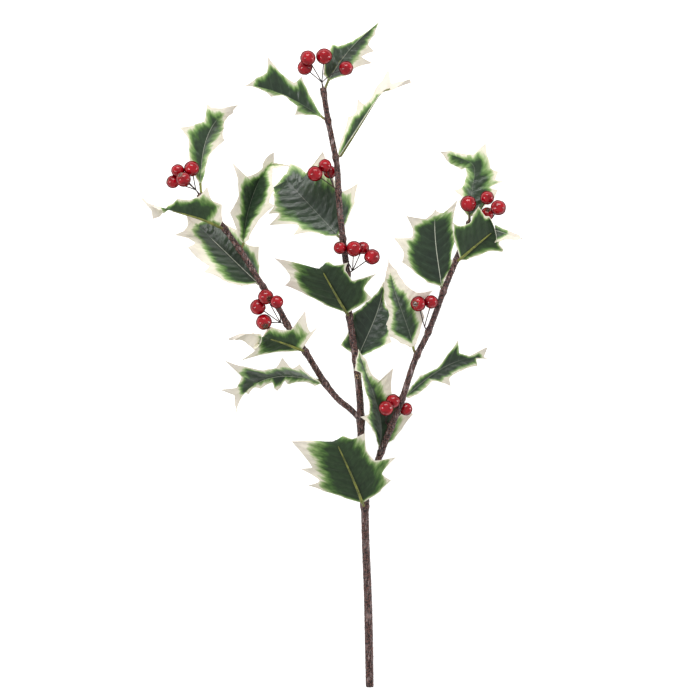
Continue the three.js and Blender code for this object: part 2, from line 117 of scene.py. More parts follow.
def stretched(vector, amounts, shift=(0, 0, 0)):
    return shade("VectorMath", {0: vector, 1: amounts, 2: shift}, operation="MULTIPLY_ADD")


def scaled(vector, amount):
    return shade("VectorMath", {0: vector, "Scale": amount}, operation="SCALE")


def split(vector):
    return addNode("ShaderNodeSeparateXYZ", {0: vector}).outputs


def stored(name, output="Fac"):
    return shade("Attribute", None, output, attribute_name=name)


def objectPlace():
    return shade("TexCoord", None, "Object")


# Screen colour, 0 to 255, as the shader's linear colour.
def tint(screen):
    return (*(((c / 255 + 0.055) / 1.055) ** 2.4 if c > 10 else c / 3294.6 for c in screen), 1)


def rampOf(value, stops, tones):
    node = addNode("ShaderNodeValToRGB", {"Fac": value})
    elements = node.color_ramp.elements
    while len(elements) < len(stops):
        elements.new(0.5)
    for element, stop, screen in zip(elements, stops, tones):
        element.position = stop
        element.color = tint(screen)
    return node.outputs["Color"]


def blendColours(share, first, second, way="MIX"):
    first, second = (tint(tone) if isinstance(tone, tuple) else tone for tone in (first, second))
    return shade("Mix", {0: share, 6: first, 7: second}, 2, data_type="RGBA", blend_type=way)


def newMaterial(name, settings):
    material = bpy.data.materials.new(name)
    material.use_nodes = True
    building["tree"] = material.node_tree
    shader = material.node_tree.nodes["Principled BSDF"].inputs
    for socket, value in settings.items():
        shader[socket].default_value = value
    return material, shader


# The shader's colour and roughness, and its bump as a height, a strength and a depth in metres.
def finishSkin(shader, base, rough, bump=None):
    feed(base, shader["Base Color"])
    feed(rough, shader["Roughness"])
    if bump:
        feed(shade("Bump", dict(zip(("Height", "Strength", "Distance"), bump))), shader["Normal"])


# The pitted, blotchy skin of moulded plastic: a height, and masks for hollows and blotches.
def makeMouldGrain():
    tree, start, end = newTree(
        "mouldGrain", "Shader",
        {"Place": ("Vector", None), "Pits Per Metre": ("Float", 600.0),
         "Blotches Per Metre": ("Float", 90.0)},
        {"Height": "Float", "Pits": "Float", "Blotches": "Float"},
    )
    place, density = start["Place"], start["Pits Per Metre"]
    fine = noiseOf(place, density, 4.0, 0.6)
    broad = noiseOf(place, start["Blotches Per Metre"])
    cells = shade("TexVoronoi", {"Vector": place, "Scale": density}, "Distance")
    pits = rescale(cells, 0.1, 0.55)
    feed(calc("MULTIPLY_ADD", fine, 0.7, times(pits, 0.3)), end["Height"])
    feed(rescale(fine, 0.42, 0.62), end["Pits"])
    feed(rescale(broad, 0.4, 0.66), end["Blotches"])
    return tree


# The printed pattern: how far outside the green a point lies, with streaks along the side veins,
# the side veins themselves and the pressed crinkle.
def makeLeafPrint():
    tree, start, end = newTree(
        "leafPrint", "Shader",
        {"Streaks": ("Float", 5.0), "Vein Spacing": ("Float", 8.0), "Vein Width": ("Float", 0.5)},
        dict.fromkeys(("Outside", "Veins", "Midrib", "Mottle", "Crinkle"), "Float"),
    )
    place = stored("leafPlace", "Vector")
    alongVein, across = split(place)[:2]
    broad = noiseOf(stretched(place, (0.11, 0.05, 1)), 1, 2)
    fine = noiseOf(stretched(place, (0.42, 0.14, 1), (9, 3, 0)), 1, 3, 0.6)
    streak = calc("SUBTRACT", calc("MULTIPLY_ADD", fine, 0.3, broad), 0.65)
    push = times(streak, times(start["Streaks"], 2.6))
    outside = calc("ADD", stored("printEdge"), push)
    turns = calc("DIVIDE", calc("MULTIPLY_ADD", broad, 4.0, alongVein), start["Vein Spacing"])
    phase = calc("SUBTRACT", calc("FRACT", calc("ADD", turns, 50.5)), 0.5)
    gap = times(calc("ABSOLUTE", phase), start["Vein Spacing"])
    line = calc("SUBTRACT", 1.0, calc("DIVIDE", gap, start["Vein Width"]), clamp=True)
    veins = times(line, rescale(outside, -9.0, -3.0, 1.0, 0.0))
    ribWidth = calc("MULTIPLY_ADD", fine, 1.0, -0.02)
    midrib = calc("DIVIDE", calc("ABSOLUTE", across), ribWidth)
    midrib = calc("SUBTRACT", 1.0, midrib, clamp=True)
    crinkle = noiseOf(stretched(place, (0.8, 0.45, 1)), 1, 4, 0.6)
    results = {
        "Outside": outside, "Veins": veins,
        "Midrib": times(midrib, rescale(alongVein, 56.0, 74.0, 1.0, 0.0)),
        "Mottle": noiseOf(stretched(place, (0.2, 0.2, 1), (4, 8, 2)), 1, 4),
        "Crinkle": calc("MULTIPLY_ADD", veins, -0.6, crinkle),
    }
    for name, value in results.items():
        feed(value, end[name])
    return tree


mouldGrain = makeMouldGrain()
leafPrint = makeLeafPrint()

# Colours are screen colours, 0 to 255.
skinTones = {
    "stemDark": (24, 7, 6), "stemMid": (106, 68, 60), "stemFlecksAndSheen": (202, 182, 180), "scar": (196, 165, 128),
    "ribOlive": (132, 136, 58), "ribDeep": (92, 98, 42), "wire": (28, 20, 20), "berry": (176, 8, 28),
    "berryDeep": (134, 4, 18), "berryRimShade": (70, 2, 10), "calyxPale": (150, 120, 96),
    "calyxDark": (48, 24, 22), "cutDull": (206, 204, 184), "cutPale": (236, 232, 220),
}

# Tones of the print run from the middle of the green to the plain cream, over so many millimetres
# inside and outside its edge. Rough runs from green to cream.
printLooks = {
    "inside": 16.0, "outside": 6.0, "streaks": 3.6, "bump": (0.35, 0.0006),
    "stops": (0.0, 0.50, 0.58, 0.655, 0.715, 0.765, 1.0),
    "front": {
        "tones": [(36, 51, 37), (43, 62, 40), (68, 102, 48), (124, 158, 88), (186, 202, 152),
                  (237, 231, 210), (234, 226, 212)],
        "vein": (84, 108, 80), "veinShare": 0.22, "rib": (206, 210, 190), "ribShare": 1.5,
        "gloss": 0.5, "rough": (0.29, 0.62),
    },
    "back": {
        "tones": [(39, 56, 36), (46, 67, 39), (70, 104, 48), (124, 154, 90), (184, 196, 150),
                  (236, 230, 211), (236, 227, 215)],
        "vein": (84, 108, 62), "veinShare": 0.18, "rib": (110, 120, 60), "ribShare": 0.4,
        "gloss": 0.35, "rough": (0.55, 0.62),
    },
}

# Pits, blotches and flecks per metre, the roughness, and the bump's strength and depth in metres.
stemLook = dict(pits=700.0, blotches=110.0, flecks=620, rough=(0.55, 0.8), bump=(0.9, 0.0009))
berryLook = dict(clouds=160, specks=900, coat=0.08, rough=(0.16, 0.6), bump=(0.15, 0.0006))

# The same for skins of grain alone, with the mask that mixes their two colours and its share.
grainSkins = {
    "ribPlastic": dict(
        pits=500.0, blotches=150.0, mask="Blotches", share=1.0, low="ribDeep", high="ribOlive",
        scar="stemMid", rough=(0.38, 0.6), bump=(0.25, 0.0004),
    ),
    "wireCoat": dict(
        pits=1500.0, blotches=200.0, mask="Blotches", share=0.5, low="wire", high="stemMid",
        rough=(0.35, 0.6), bump=(0.2, 0.0002),
    ),
    "calyxBrown": dict(
        pits=1200.0, blotches=500.0, mask="Pits", share=1.0, low="calyxDark", high="stemMid",
        rough=(0.6, 0.85), bump=(0.5, 0.0004),
    ),
}


# A material with the mould grain on it, still without its colour.
def grainyMaterial(name, look):
    material, shader = newMaterial(name, {"Specular IOR Level": 0.5})
    place = objectPlace()
    values = {"Place": place, "Pits Per Metre": look["pits"], "Blotches Per Metre": look["blotches"]}
    grain = addNode("ShaderNodeGroup", values, node_tree=mouldGrain).outputs
    return material, shader, place, grain


def makeStemSkin():
    material, shader, place, grain = grainyMaterial("stemSkin", stemLook)
    pits = rescale(grain["Pits"], 0.28, 0.74)
    base = blendColours(pits, skinTones["stemDark"], skinTones["stemMid"])
    # Pale lengthwise flecks: partly the plastic's own pale flecks, partly a painted sheen along the stem.
    flecks = noiseOf(stretched(place, (1, 0.14, 1)), stemLook["flecks"], 4, 0.7)
    flecks = rescale(flecks, 0.5, 0.68, 0.0, 0.75)
    flecksAndSheen = times(calc("MULTIPLY_ADD", grain["Blotches"], 0.6, 0.4), flecks)
    base = blendColours(flecksAndSheen, base, skinTones["stemFlecksAndSheen"])
    ragged = calc("MULTIPLY_ADD", grain["Pits"], 0.5, stored("scar"))
    base = blendColours(rescale(ragged, 0.75, 1.15), base, skinTones["scar"])
    rough = rescale(grain["Blotches"], 0, 1, *stemLook["rough"])
    finishSkin(shader, base, rough, (grain["Height"], *stemLook["bump"]))
    return material


def makeGrainSkin(name, look):
    material, shader, place, grain = grainyMaterial(name, look)
    share = times(grain[look["mask"]], look["share"])
    base = blendColours(share, skinTones[look["low"]], skinTones[look["high"]])
    if "scar" in look:
        base = blendColours(stored("scar"), base, skinTones[look["scar"]])
    rough = rescale(grain["Pits"], 0, 1, *look["rough"])
    finishSkin(shader, base, rough, (grain["Height"], *look["bump"]))
    return material


def makeLeafFace(name, look):
    material, shader = newMaterial(name, {"Specular IOR Level": look["gloss"]})
    values = {"Streaks": printLooks["streaks"], "Vein Spacing": bladeBuild["veinSpacing"]}
    pattern = addNode("ShaderNodeGroup", values, node_tree=leafPrint)
    outside, veins, midrib, mottle, crinkle = pattern.outputs
    place = rescale(outside, -printLooks["inside"], printLooks["outside"], kind="LINEAR")
    light = rescale(mottle, 0.3, 0.7, 0.8, 1.2)
    grey = shade("CombineColor", dict.fromkeys(range(3), light))
    inPrint = rescale(outside, -3.0, 0.5, 1.0, 0.2)
    base = rampOf(place, printLooks["stops"], look["tones"])
    base = blendColours(inPrint, base, grey, "MULTIPLY")
    base = blendColours(times(veins, look["veinShare"]), base, look["vein"])
    pale = times(midrib, stored("ribPale"))
    pale = times(pale, look["ribShare"], clamp=True)
    base = blendColours(pale, base, look["rib"])
    rough = calc("SUBTRACT", rescale(outside, -6.0, 2.0, *look["rough"]), 0.06)
    rough = calc("MULTIPLY_ADD", mottle, 0.16, rough)
    finishSkin(shader, base, rough, (crinkle, *printLooks["bump"]))
    return material


def makeLeafRim():
    material, shader = newMaterial("leafRim", {"Specular IOR Level": 0.3})
    threads = noiseOf(objectPlace(), 900, 3)
    base = rampOf(threads, (0.3, 0.7), (skinTones["cutDull"], skinTones["cutPale"]))
    finishSkin(shader, base, rescale(threads, 0.3, 0.7, 0.7, 0.9))
    return material


def makeBerryLacquer():
    settings = {"Coat Roughness": berryLook["coat"], "Specular IOR Level": 0.0}
    material, shader = newMaterial("berryLacquer", settings)
    place = objectPlace()
    clouds = noiseOf(place, berryLook["clouds"], 3)
    specks = noiseOf(place, berryLook["specks"], 4, 0.7)
    base = blendColours(rescale(clouds, 0.35, 0.65), skinTones["berryDeep"], skinTones["berry"])
    # How squarely the surface faces the view: the colour darkens towards the rim as painted shade, and the
    # coat thins there.
    slope = shade("LayerWeight", {"Blend": 0.5}, "Facing")
    base = blendColours(rescale(slope, 0.25, 0.85), base, skinTones["berryRimShade"])
    feed(rescale(slope, 0.3, 0.75, 1.0, 0.0), shader["Coat Weight"])
    ragged = calc("MULTIPLY_ADD", calc("SUBTRACT", specks, 0.5), 0.6, stored("blossom"))
    crumbs = rescale(specks, 0.5, 0.62)
    dried = blendColours(crumbs, skinTones["calyxDark"], skinTones["calyxPale"])
    base = blendColours(rescale(ragged, 0.89, 0.93), base, dried)
    rough = rescale(ragged, 0.84, 0.95, *berryLook["rough"])
    finishSkin(shader, base, rough, (clouds, *berryLook["bump"]))
    return material


# Lengths in millimetres. The green's edge softens over tall spines, and the curves shape the outline
# up to the first spine, up to the others and down into the hollows.
bladeBuild = {
    "thickness": 0.35, "rowStep": 1.0, "turnStep": 0.5, "ribStep": 0.25, "rowGap": 0.3, "columns": 13,
    "footReach": 1.2, "tipReach": 0.12, "footCurve": 0.8, "spineCurve": 1.5, "hollowCurve": 1.45,
    "veinSpacing": 9.5, "veinSlant": 0.55, "veinBend": 0.007, "quilt": 0.7, "crinkle": 0.28,
    "groove": 0.35, "grooveWidth": 0.9, "wave": 0.9, "droop": 0.0012, "spineLift": 1.4,
    "softness": 18.0, "greenPoint": 1.2, "bareRim": 0.7, "tableGap": 0.25, "tableEase": 3.0,
    "sharpAngle": 60,
}

stemSkin = makeStemSkin()
ribPlastic, wireCoat, calyxBrown = (makeGrainSkin(name, look) for name, look in grainSkins.items())
leafFront = makeLeafFace("leafFront", printLooks["front"])
leafBack = makeLeafFace("leafBack", printLooks["back"])
leafRim = makeLeafRim()
berryLacquer = makeBerryLacquer()
print("materials made")


def moved(geometry, **places):
    return grow("SetPosition", {"Geometry": geometry, **places})


def joined(*geometries):
    node = addNode("GeometryNodeJoinGeometry")
    for geometry in geometries:
        feed(geometry, node.inputs[0])
    return node.outputs[0]


# Smooth shading, real instances and a material.
def dressed(geometry, skin):
    smooth = grow("SetShadeSmooth", {"Geometry": geometry})
    return grow("SetMaterial", {"Geometry": grow("RealizeInstances", {0: smooth}), "Material": skin})


def named(name):
    return grow("InputNamedAttribute", {"Name": name}, "Attribute", data_type="FLOAT")


def keep(geometry, name, value, domain):
    values = {"Geometry": geometry, "Name": name, "Value": value}
    return grow("StoreNamedAttribute", values, data_type="FLOAT", domain=domain)


# A rod along each line of edges, thick as its points say, with a pitted skin and small warts.
def makeRodTree():
    tree, start, end = newTree(
        "mouldedRod", "Geometry",
        {"Geometry": ("Geometry", None), "Sides": ("Int", 16), "Step": ("Float", 0.001),
         "Pit Depth": ("Float", 0.0), "Pits Per Metre": ("Float", 500.0), "Wart Density": ("Float", 0.0),
         "Wart Radius": ("Float", 0.0004), "Seed": ("Int", 1), "Skin": ("Material", None)},
        {"Geometry": "Geometry"},
    )
    curve = grow("MeshToCurve", {"Mesh": start["Geometry"]})
    even = grow("ResampleCurve", {"Curve": curve, "Length": start["Step"]}, mode="LENGTH")
    circle = grow("CurvePrimitiveCircle", {"Resolution": start["Sides"], "Radius": 1.0}, "Curve")
    skin = grow("CurveToMesh", {
        "Curve": even, "Profile Curve": circle, "Scale": named("thick"), "Fill Caps": True,
    })
    noise = noiseOf(grow("InputPosition"), start["Pits Per Metre"], 2.0, 0.5)
    depth = times(calc("SUBTRACT", noise, 0.55), start["Pit Depth"])
    pitted = moved(skin, Offset=scaled(grow("InputNormal"), depth))
    spots = addNode("GeometryNodeDistributePointsOnFaces", {
        "Mesh": pitted, "Density": start["Wart Density"], "Seed": start["Seed"],
    }).outputs
    wart = grow("MeshIcoSphere", {"Radius": start["Wart Radius"], "Subdivisions": 2}, "Mesh")
    sizes = {0: (0.6, 0.6, 0.4), 1: (1.6, 1.6, 0.9)}
    warts = grow("InstanceOnPoints", {
        "Points": spots["Points"], "Rotation": spots["Rotation"], "Instance": wart,
        "Scale": addNode("FunctionNodeRandomValue", sizes, data_type="FLOAT_VECTOR").outputs[0],
    })
    feed(dressed(joined(warts, pitted), start["Skin"]), end[0])
    return tree


# A slightly lumpy ball with a dent and a dry calyx stub at its blossom end, turned and placed.
def makeBerryTree():
    tree, start, end = newTree(
        "lacqueredBerry", "Geometry",
        {"Geometry": ("Geometry", None), "Radius": ("Float", 0.007), "Centre": ("Vector", None),
         "Turn": ("Rotation", None), "Lumps": ("Float", 0.03), "Dent": ("Float", 0.1),
         "Stub": ("Float", 0.14), "Seed": ("Float", 0.0), "Lacquer": ("Material", None),
         "Calyx": ("Material", None)},
        {"Geometry": "Geometry"},
    )
    ball = grow("MeshUVSphere", {"Segments": 36, "Rings": 24, "Radius": 1.0}, "Mesh")
    spot = grow("InputPosition")
    x, y, z = split(spot)
    ball = keep(ball, "blossom", z, "POINT")
    values = {"Vector": spot, "W": start["Seed"], "Scale": 1.3, "Detail": 2.0}
    noise = shade("TexNoise", values, "Fac", noise_dimensions="4D")
    lump = times(calc("SUBTRACT", noise, 0.5), start["Lumps"])
    square = calc("ADD", times(x, x), times(y, y))
    bowl = calc("POWER", 2.718, times(square, -14.0))
    upper = calc("GREATER_THAN", z, 0.0)
    dent = times(times(bowl, upper), start["Dent"])
    change = calc("ADD", 1.0, calc("SUBTRACT", lump, dent))
    ball = moved(ball, Position=scaled(spot, change))
    stub = grow("MeshCone", {
        "Vertices": 9, "Side Segments": 2, "Radius Bottom": start["Stub"],
        "Radius Top": times(start["Stub"], 0.45), "Depth": times(start["Stub"], 0.8),
    }, "Mesh")
    stub = grow("Transform", {"Geometry": stub, "Translation": (0, 0, 0.86)})
    stub = keep(stub, "stub", 1.0, "FACE")
    placed = grow("Transform", {
        "Geometry": joined(stub, ball), "Translation": start["Centre"], "Rotation": start["Turn"],
        "Scale": shade("CombineXYZ", dict.fromkeys(range(3), start["Radius"])),
    })
    dried = grow("SetMaterial", {
        "Geometry": dressed(placed, start["Lacquer"]), "Material": start["Calyx"],
        "Selection": calc("GREATER_THAN", named("stub"), 0.5),
    })
    feed(dried, end[0])
    return tree


def newObject(name, data):
    piece = bpy.data.objects.new(name, data)
    bpy.context.scene.collection.objects.link(piece)
    return piece


# Gives each point of a mesh a number, or three.
def storeValues(mesh, name, values, kind="FLOAT"):
    layer = mesh.attributes.new(name, kind, "POINT")
    field = "value" if kind == "FLOAT" else "vector"
    layer.data.foreach_set(field, np.asarray(values, np.float32).ravel())


# Runs a tree on a few points and lines, and keeps the plain mesh that it makes.
def growPiece(name, tree, values, points=((0, 0, 0),), edges=(), thick=None):
    seedMesh = bpy.data.meshes.new(name + "Lines")
    seedMesh.from_pydata([tuple(p) for p in points], list(edges), [])
    if thick is not None:
        storeValues(seedMesh, "thick", thick)
    holder = newObject(name + "Lines", seedMesh)
    modifier = holder.modifiers.new(tree.name, "NODES")
    modifier.node_group = tree
    ids = {item.name: item.identifier for item in tree.interface.items_tree if item.in_out == "INPUT"}
    for key, value in values.items():
        modifier[ids[key]] = value
    graph = bpy.context.evaluated_depsgraph_get()
    mesh = bpy.data.meshes.new_from_object(
        holder.evaluated_get(graph), preserve_all_data_layers=True, depsgraph=graph
    )
    mesh.name = name
    bpy.data.objects.remove(holder)
    bpy.data.meshes.remove(seedMesh)
    return newObject(name, mesh)


# A rod along a route in the plan, with the sides, step, pits and warts of its build.
def growRod(name, build, seed, skin, points, edges, thick):
    values = {
        "Sides": build["sides"], "Step": build["step"], "Pit Depth": build["pitDepth"],
        "Pits Per Metre": build["pitsPerMetre"], "Wart Density": build.get("wartDensity", 0.0),
        "Wart Radius": build.get("wartRadius", 0.0004), "Seed": seed, "Skin": skin,
    }
    return growPiece(name, rodTree, values, toFrame(points), edges, np.array(thick) * mm)


# Hands a finished piece to the frame.
def settle(piece, slot, *nodes):
    if nodes:
        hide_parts(*nodes)
    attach(piece, "root")


rodTree = makeRodTree()
berryTree = makeBerryTree()
print("trees made")


# A smooth line through the route's points.
def smoothRoute(route, perSpan=24):
    points = np.asarray(route, float)
    padded = np.vstack([2 * points[0] - points[1], points, 2 * points[-1] - points[-2]])
    line = []
    for index in range(len(points) - 1):
        p0, p1, p2, p3 = padded[index:index + 4]
        t0, t1, t2 = (max(np.linalg.norm(b - a), 1e-6) ** 0.5 for a, b in ((p0, p1), (p1, p2), (p2, p3)))
        tangentA = ((p1 - p0) / t0 - (p2 - p0) / (t0 + t1) + (p2 - p1) / t1) * t1
        tangentB = ((p2 - p1) / t1 - (p3 - p1) / (t1 + t2) + (p3 - p2) / t2) * t1
        for share in np.linspace(0, 1, perSpan, endpoint=False):
            a, b = share * share, share ** 3
            line.append(
                (2 * b - 3 * a + 1) * p1 + (b - 2 * a + share) * tangentA
                + (3 * a - 2 * b) * p2 + (b - a) * tangentB
            )
    line.append(points[-1])
    return np.array(line)


def lengthsAlong(line):
    return np.concatenate([[0], np.cumsum(np.linalg.norm(np.diff(line, axis=0), axis=1))])


def placesOn(line, lengths, stops):
    return np.stack([np.interp(stops, lengths, line[:, axis]) for axis in range(3)], -1)


def resampled(line, step):
    lengths = lengthsAlong(line)
    stops = np.linspace(0, lengths[-1], max(2, int(round(lengths[-1] / step)) + 1))
    return placesOn(line, lengths, stops), stops


def unit(vector):
    return vector / np.linalg.norm(vector)


def chain(count, offset=0):
    return [(offset + i, offset + i + 1) for i in range(count - 1)]


def fade(ends, share):
    return ends[0] * (1 - share) + ends[1] * share


# 1 at no distance, and soon nothing.
def hump(distance, width):
    return np.exp(-((distance / width) ** 2))


# Routes are places in the plan. Scars are (height up the plan, width, strength).
stems = {
    "main_stem": {
        "radius": (4.05, 2.4),
        "route": [(1.8, 0, 1.7), (0, 88, 5), (-2.4, 148, 8), (-3.2, 182, 10), (-7, 254, 14), (-8, 288, 17),
                  (-11, 318, 19), (-15, 348, 21), (-19, 375, 24), (-21, 416, 25), (-25, 448, 27),
                  (-29, 488, 28), (-31, 522, 29), (-36, 548, 30), (-40, 568, 31), (-45, 600, 32)],
        "scars": [(0, 2, 0.5), (185, 3, 0.95), (274, 3, 0.6), (312, 5, 1.0), (449, 3, 0.5), (530, 4, 0.8),
                  (568, 3, 0.8), (600, 4, 1.0)],
    },
    "left_branch": {
        "radius": (3.0, 2.4),
        "route": [(-9, 270, 16), (-19, 280, 17), (-28, 287, 17), (-41, 302, 18), (-63, 337, 22),
                  (-80, 362, 24), (-89, 379, 24), (-104, 400, 25), (-128, 438, 27), (-149, 467, 27),
                  (-169, 494, 27)],
        "scars": [(304, 3, 0.95), (336, 3, 0.8), (364, 3, 0.8), (401, 3, 0.8), (439, 3, 0.95), (466, 3, 0.6),
                  (494, 4, 1.0)],
    },
    "right_branch": {
        "radius": (3.1, 2.4),
        "route": [(-4, 190, 10), (4, 211, 12), (12, 233, 14), (21, 256, 18), (34, 289, 24), (47, 328, 25),
                  (59, 353, 26), (65, 368, 26), (76, 398, 27), (88.5, 429, 27), (102, 467, 26)],
        "scars": [(262, 3, 0.95), (289, 3, 0.95), (333, 3, 0.95), (356, 3, 0.95), (396, 3, 0.95),
                  (428, 3, 0.8), (467, 4, 1.0)],
    },
}

stemBuild = {
    "bark": 0.35, "barkStart": 30.0, "sides": 18, "step": 0.0009, "pitDepth": 0.0009,
    "pitsPerMetre": 420.0, "wartDensity": 30000.0, "wartRadius": 0.00045, "swell": 0.8, "swellLength": 3.5,
    "collars": (188, 268), "collar": 0.9, "collarLength": 7.0,
    "footRound": 0.4, "footLength": 1.2, "tipRound": 0.5, "tipLength": 0.8,
}

stemLines = {name: smoothRoute(stem["route"]) for name, stem in stems.items()}


def pointOn(stem, height):
    line = stemLines[stem]
    return placesOn(line, line[:, 1], height)


# Stores how near each point of the skin is to a pale scar.
def markScars(piece, spots):
    mesh = piece.data
    co = np.zeros(len(mesh.vertices) * 3, np.float32)
    mesh.vertices.foreach_get("co", co)
    co = co.reshape(-1, 3)
    value = np.zeros(len(co))
    for centre, width, strength in spots:
        gap = np.linalg.norm(co - toFrame(centre), axis=1)
        value = np.maximum(value, strength * hump(gap, width * mm))
    storeValues(mesh, "scar", value)


def buildStem(name, seed):
    build = stemBuild
    line, stops = resampled(stemLines[name], 1.0)
    height = line[:, 1]
    thick = fade(stems[name]["radius"], stops / stops[-1])
    thick = thick + build["bark"] * (1 - hump(stops, build["barkStart"]))
    for user in [*leaves.values(), *picks]:
        if user["stem"] == name:
            gap = height - user["at"]
            thick = thick + build["swell"] * np.exp(-2 * (gap / build["swellLength"]) ** 2)
    if name == "main_stem":
        for at in build["collars"]:
            thick = thick + build["collar"] * hump(height - at, build["collarLength"])
        thick = thick - build["footRound"] * hump(height, build["footLength"])
    thick = thick - build["tipRound"] * hump(stops[-1] - stops, build["tipLength"])
    piece = growRod(name + "_skin", build, seed, stemSkin, line, chain(len(line)), thick)
    scars = stems[name]["scars"]
    markScars(piece, [(pointOn(name, at), width, strength) for at, width, strength in scars])
    settle(piece, "stem", name)


# Each leaf: where its stalk leaves the stem, how far the foot is shifted, and the lengths of stalk
# and blade. Heading, rise and roll turn the midrib at the foot, middle and tip; a roll near 180 shows
# the back. Fold lifts the left and right halves, and lean slants them to the tip. Bend, tuck and twist
# (place, length, degrees) turn the blade's end sideways, over and round. Left and right list spines as
# (rib root, reach) with the hollows after them. Green is the share of a spine the print climbs into,
# cream how far it stays inside the hollows, tipCream and footCream how much of each end is plain,
# blend how soft its edge is, and pale how light the midrib is on the front.
leaves = {}
leaves["leaf_main_1"] = dict(
    stem="main_stem", at=594, shift=(1.5, 6, 0), stalk=8, length=80, heading=(66, 50, 36),
    rise=(-8, -3, 0), roll=(-10, -5, 0), fold=(-40, -40), lean=(0.3, 0.3), green=(0.8, 0.1), pale=0.3,
    tipCream=2, blend=0.9, cream=(1, 3.5),
    left=[(1, 9, 10, 16), (26, 22, 32, 12, 49, 3.5, 63, 0.5)],
    right=[(1, 4, 9, 20), (33, 35, 35, 19), (47, 27, 51, 14, 64, 10)],
)
leaves["leaf_main_2"] = dict(
    stem="main_stem", at=567, shift=(-1, 0, 0), stalk=7, length=85, heading=(146, 155, 178),
    rise=(-10, 4, 16), roll=(20, 25, 25), fold=(-25, -15), lean=(0.2, 0.4), green=(0.35, 0.6), pale=0.1,
    tipCream=8, blend=1.3, cream=(1.5, 1.5),
    left=[(4, 2.2, 13, 11), (21, 19, 26, 5, 35, 3.2, 43, 0.3), (52, 10, 63, 3.8), (73, 1.2, 80, 0.3)],
    right=[(2, 2.7, 12, 10, 21, 18), (27, 25, 34, 16, 45, 19, 52, 25), (58, 32, 60, 17, 70, 10)],
)
leaves["leaf_main_3"] = dict(
    stem="main_stem", at=530, shift=(2, 0, 1), stalk=2, length=108, heading=(57, 57, 57), rise=(10, 2, 0),
    roll=(50, 50, 15), fold=(15, 16), bend=(78, 20, -44), lean=(0.3, 0.3), green=(0, 0.8), tipCream=34,
    pale=0.4, blend=0.8, cream=(3.5, -1),
    left=[(10, 8, 21, 12), (32, 18, 41, 13), (52, 20, 55, 8, 66, 5, 79, 10),
          (84, 23, 87, 6, 93, 6, 101, 4)],
    right=[(3, 1.4, 23, 2.4, 63, 2.2, 76, 1, 87, 1, 97, 0.8)],
)
leaves["leaf_main_4"] = dict(
    stem="main_stem", at=449, shift=(-2, 0, -4), stalk=5, length=95, heading=(132, 133, 134),
    rise=(-20, -8, -35), roll=(-12, -8, -12), fold=(8, -4), lean=(0.2, 0.3), green=(0.3, 0.2), tipCream=-3,
    pale=0.12, blend=1.3, bend=(76, 12, 72), cream=(2, 1.5),
    left=[(6, 10, 15, 17), (23, 34, 29, 23), (45, 45, 50, 29), (55, 38, 60, 27, 72, 20, 82, 15, 90, 9)],
    right=[(1, 17, 5, 36), (13, 53, 22, 34), (62, 49, 63, 28, 64, 20), (75, 20, 76, 9, 82, 2.9)],
)
leaves["leaf_main_5"] = dict(
    stem="main_stem", at=371, shift=(0, 0, 3), stalk=5, length=72, heading=(121, 120, 116),
    rise=(25, 22, 20), roll=(200, 195, 195), fold=(0, 14), lean=(0, 0.8), tuck=(56, 8, -136),
    green=(0.8, 0.1), tipCream=0, blend=1.1, cream=(-3, 3),
    left=[(5, 31, 16, 28), (27, 48, 30, 22, 43, 21), (50, 27, 53, 13)],
    right=[(1, 5, 2, 18, 10, 31), (17, 44, 32, 34), (52, 39, 53, 22)],
)
leaves["leaf_main_6"] = dict(
    stem="main_stem", at=328, shift=(1, 0, -4), stalk=4, length=80, heading=(68, 68, 88), rise=(-5, 5, 8),
    roll=(8, 10, 10), fold=(12, 10), lean=(0, 0.3), green=(1, 0.1), pale=0.35, tipCream=2, blend=0.8,
    cream=(-5, -1),
    left=[(3, 21, 16, 19, 28, 22, 38, 23, 54, 14, 64, 8, 73, 2.8)],
    right=[(6, 11, 12, 18), (19, 26, 30, 19), (50, 14, 58, 5, 70, 2.5)],
)
leaves["leaf_main_7"] = dict(
    stem="main_stem", at=181, shift=(-1, 0, 5), stalk=5, length=90, heading=(109, 114, 116),
    rise=(28, 22, 20), roll=(186, 184, 180), fold=(0, 4), lean=(0.2, 0.6), tuck=(74, 10, -160),
    green=(0.7, 0.3), tipCream=0, blend=2, cream=(-1, 3),
    left=[(1, 15, 2, 21), (7, 35, 18, 29), (27, 49, 34, 27, 46, 24), (63, 30, 65, 16)],
    right=[(1, 15, 6, 33), (12, 45, 20, 32), (32, 45, 36, 33), (69, 40, 71, 23)],
)
leaves["leaf_left_1"] = dict(
    stem="left_branch", at=488, shift=(-3, 9, 0), stalk=7, length=97, heading=(88, 72, 12),
    rise=(-10, -5, 5), roll=(-15, -20, -15), fold=(-12, -30), lean=(0.3, 0.3), green=(0.5, 0.3), pale=0.4,
    tipCream=20, blend=1.5, cream=(2.5, 3),
    left=[(21, 13, 36, 17), (41, 29, 51, 16, 58, 10), (69, 18, 70, 12, 81, 3.6)],
    right=[(12, 6, 26, 9), (44, 29, 60, 17, 70, 10), (84, 6)],
)
leaves["leaf_left_2"] = dict(
    stem="left_branch", at=459, shift=(-2, 0, 3), stalk=4, length=83, heading=(149, 165, 152),
    rise=(12, 8, -5), roll=(195, 195, 190), fold=(12, 82), lean=(-0.1, 0.2), twist=(57, 10, -165),
    green=(0.3, 0.3), tipCream=20, footCream=10, blend=0.9, cream=(2, 2),
    left=[(1, 8, 9, 21, 17, 21), (27, 33, 31, 21, 39, 15), (50, 13, 53, 7), (66, 14)],
    right=[(10, 8), (32, 12), (50, 7), (64, 7)],
)
